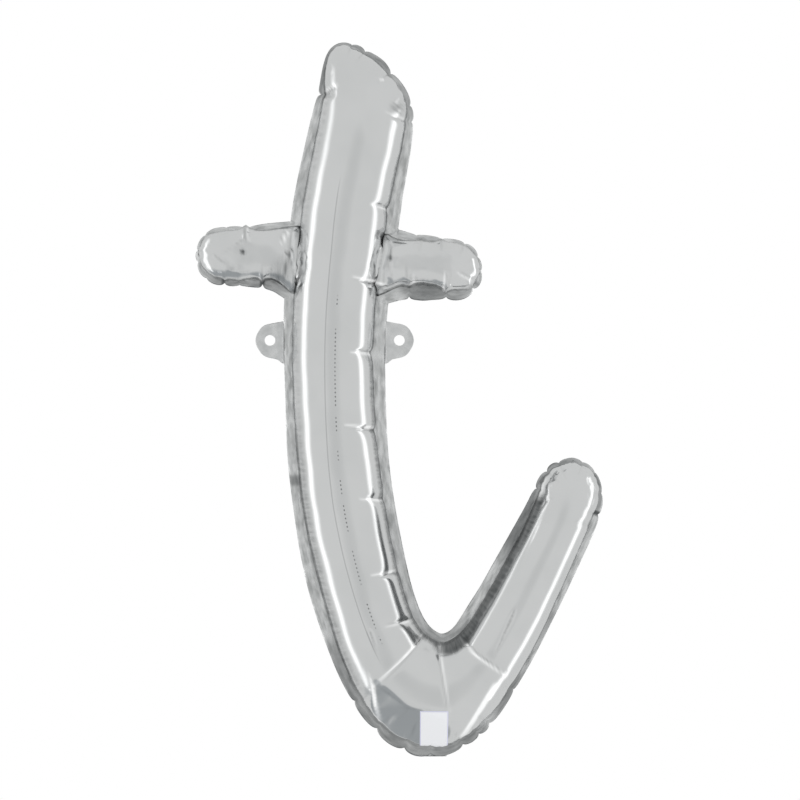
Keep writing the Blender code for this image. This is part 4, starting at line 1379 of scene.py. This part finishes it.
def strip_light(name, angle, bottom, top, fading):
    """An upright soft strip at an angle from straight ahead, facing the letter. Its light fades from the
    middle to both sides, and over the fading share of its height at the top."""
    light = bpy.data.lights.new(name, "AREA")
    light.shape = "RECTANGLE"
    light.use_nodes = True
    nodes = Nodes(light.node_tree)
    across, up, _ = nodes.split(nodes.add("NewGeometry").outputs["Parametric"])
    strength = nodes.times(nodes.within(across, 0.5, 0.5, 0.5), nodes.within(up, 0.0, 1.0 - fading, fading))
    nodes.feed(light.node_tree.nodes["Emission"], {"Strength": strength})
    light.size = STRIP_WIDTH
    light.size_y = top - bottom
    light.energy = STRIP_RADIANCE * math.pi * STRIP_WIDTH * (top - bottom)
    lamp = put_in_scene(name, light)
    turn = math.radians(angle)
    beside, ahead = STRIP_DISTANCE * math.sin(turn), STRIP_DISTANCE * math.cos(turn)
    lamp.location = (PICTURE_CENTRE_X + beside, -ahead, (top + bottom) / 2)
    lamp.rotation_euler = (math.pi / 2, 0, turn)
    lamp.visible_camera = False


def make_floor():
    """A round pale floor below the hanging letter, in rings from its middle. The foil doesn't mirror it."""
    radius = np.array([0.0005, 0.2, 0.4])[:, None]
    turn = np.linspace(0, 2 * math.pi, 97)[None, :-1]
    across, ahead = radius * np.cos(turn), radius * np.sin(turn)
    points = np.stack([across + PICTURE_CENTRE_X, ahead, np.full(across.shape, FLOOR_Z)], axis=-1)
    material, nodes, shader = new_material("pale_floor")
    grain = nodes.noise(nodes.place(), 3.0)
    nodes.feed(shader, {"Base Color": nodes.mixed(grain, FLOOR_DARK, FLOOR_LIGHT), "Roughness": 0.9})
    floor = new_piece("floor", points.reshape(-1, 3), [grid_faces(closed_index(across.shape))], material)
    floor.visible_glossy = False


def make_camera():
    """Looks straight at the letter's front, from where a pixel has its real size at the seam's plane."""
    data = bpy.data.cameras.new("camera")
    data.lens = LENS_MM
    data.sensor_width = SENSOR_MM
    camera = put_in_scene("camera", data)
    half_width = PICTURE_PIXELS * METRES_PER_PIXEL / 2
    camera.location = (PICTURE_CENTRE_X, -half_width * LENS_MM / (SENSOR_MM / 2), PICTURE_CENTRE_Z)
    camera.rotation_euler = (math.pi / 2, 0, 0)
    bpy.context.scene.camera = camera


def main():
    """Sets up the camera, builds every piece and lights the scene."""
    make_camera()
    stem = bell_average(catmull_rom(STEM_SECTIONS, SMOOTHING_STEPS), STEM_SMOOTHING)
    crossbar = bell_average(catmull_rom(CROSSBAR_SECTIONS, SMOOTHING_STEPS), CROSSBAR_SMOOTHING)
    stem, crossbar = overhung(stem, 1), overhung(crossbar, -1)
    outline = letter_outline(stem, crossbar)
    stem, along = respaced(stem, CREASED_PLACES)
    make_films(stem, along, crossbar, outline)
    make_edge(outline, PLEATS, welded_film("welded_edge_satin", WELD_LIGHT, WELD_DARK, True))
    tab_satin = welded_film("tab_satin", TAB_LIGHT, TAB_DARK)
    for side in (-1, 1):
        make_tab(side, tab_satin)
    make_sleeve(welded_film("neck_satin", TAB_LIGHT, TAB_DARK))
    make_valve(clear_film())
    make_floor()
    make_world()
    for strip in STRIPS:
        strip_light(*strip)
    bpy.context.scene.view_settings.view_transform = "Standard"


main()
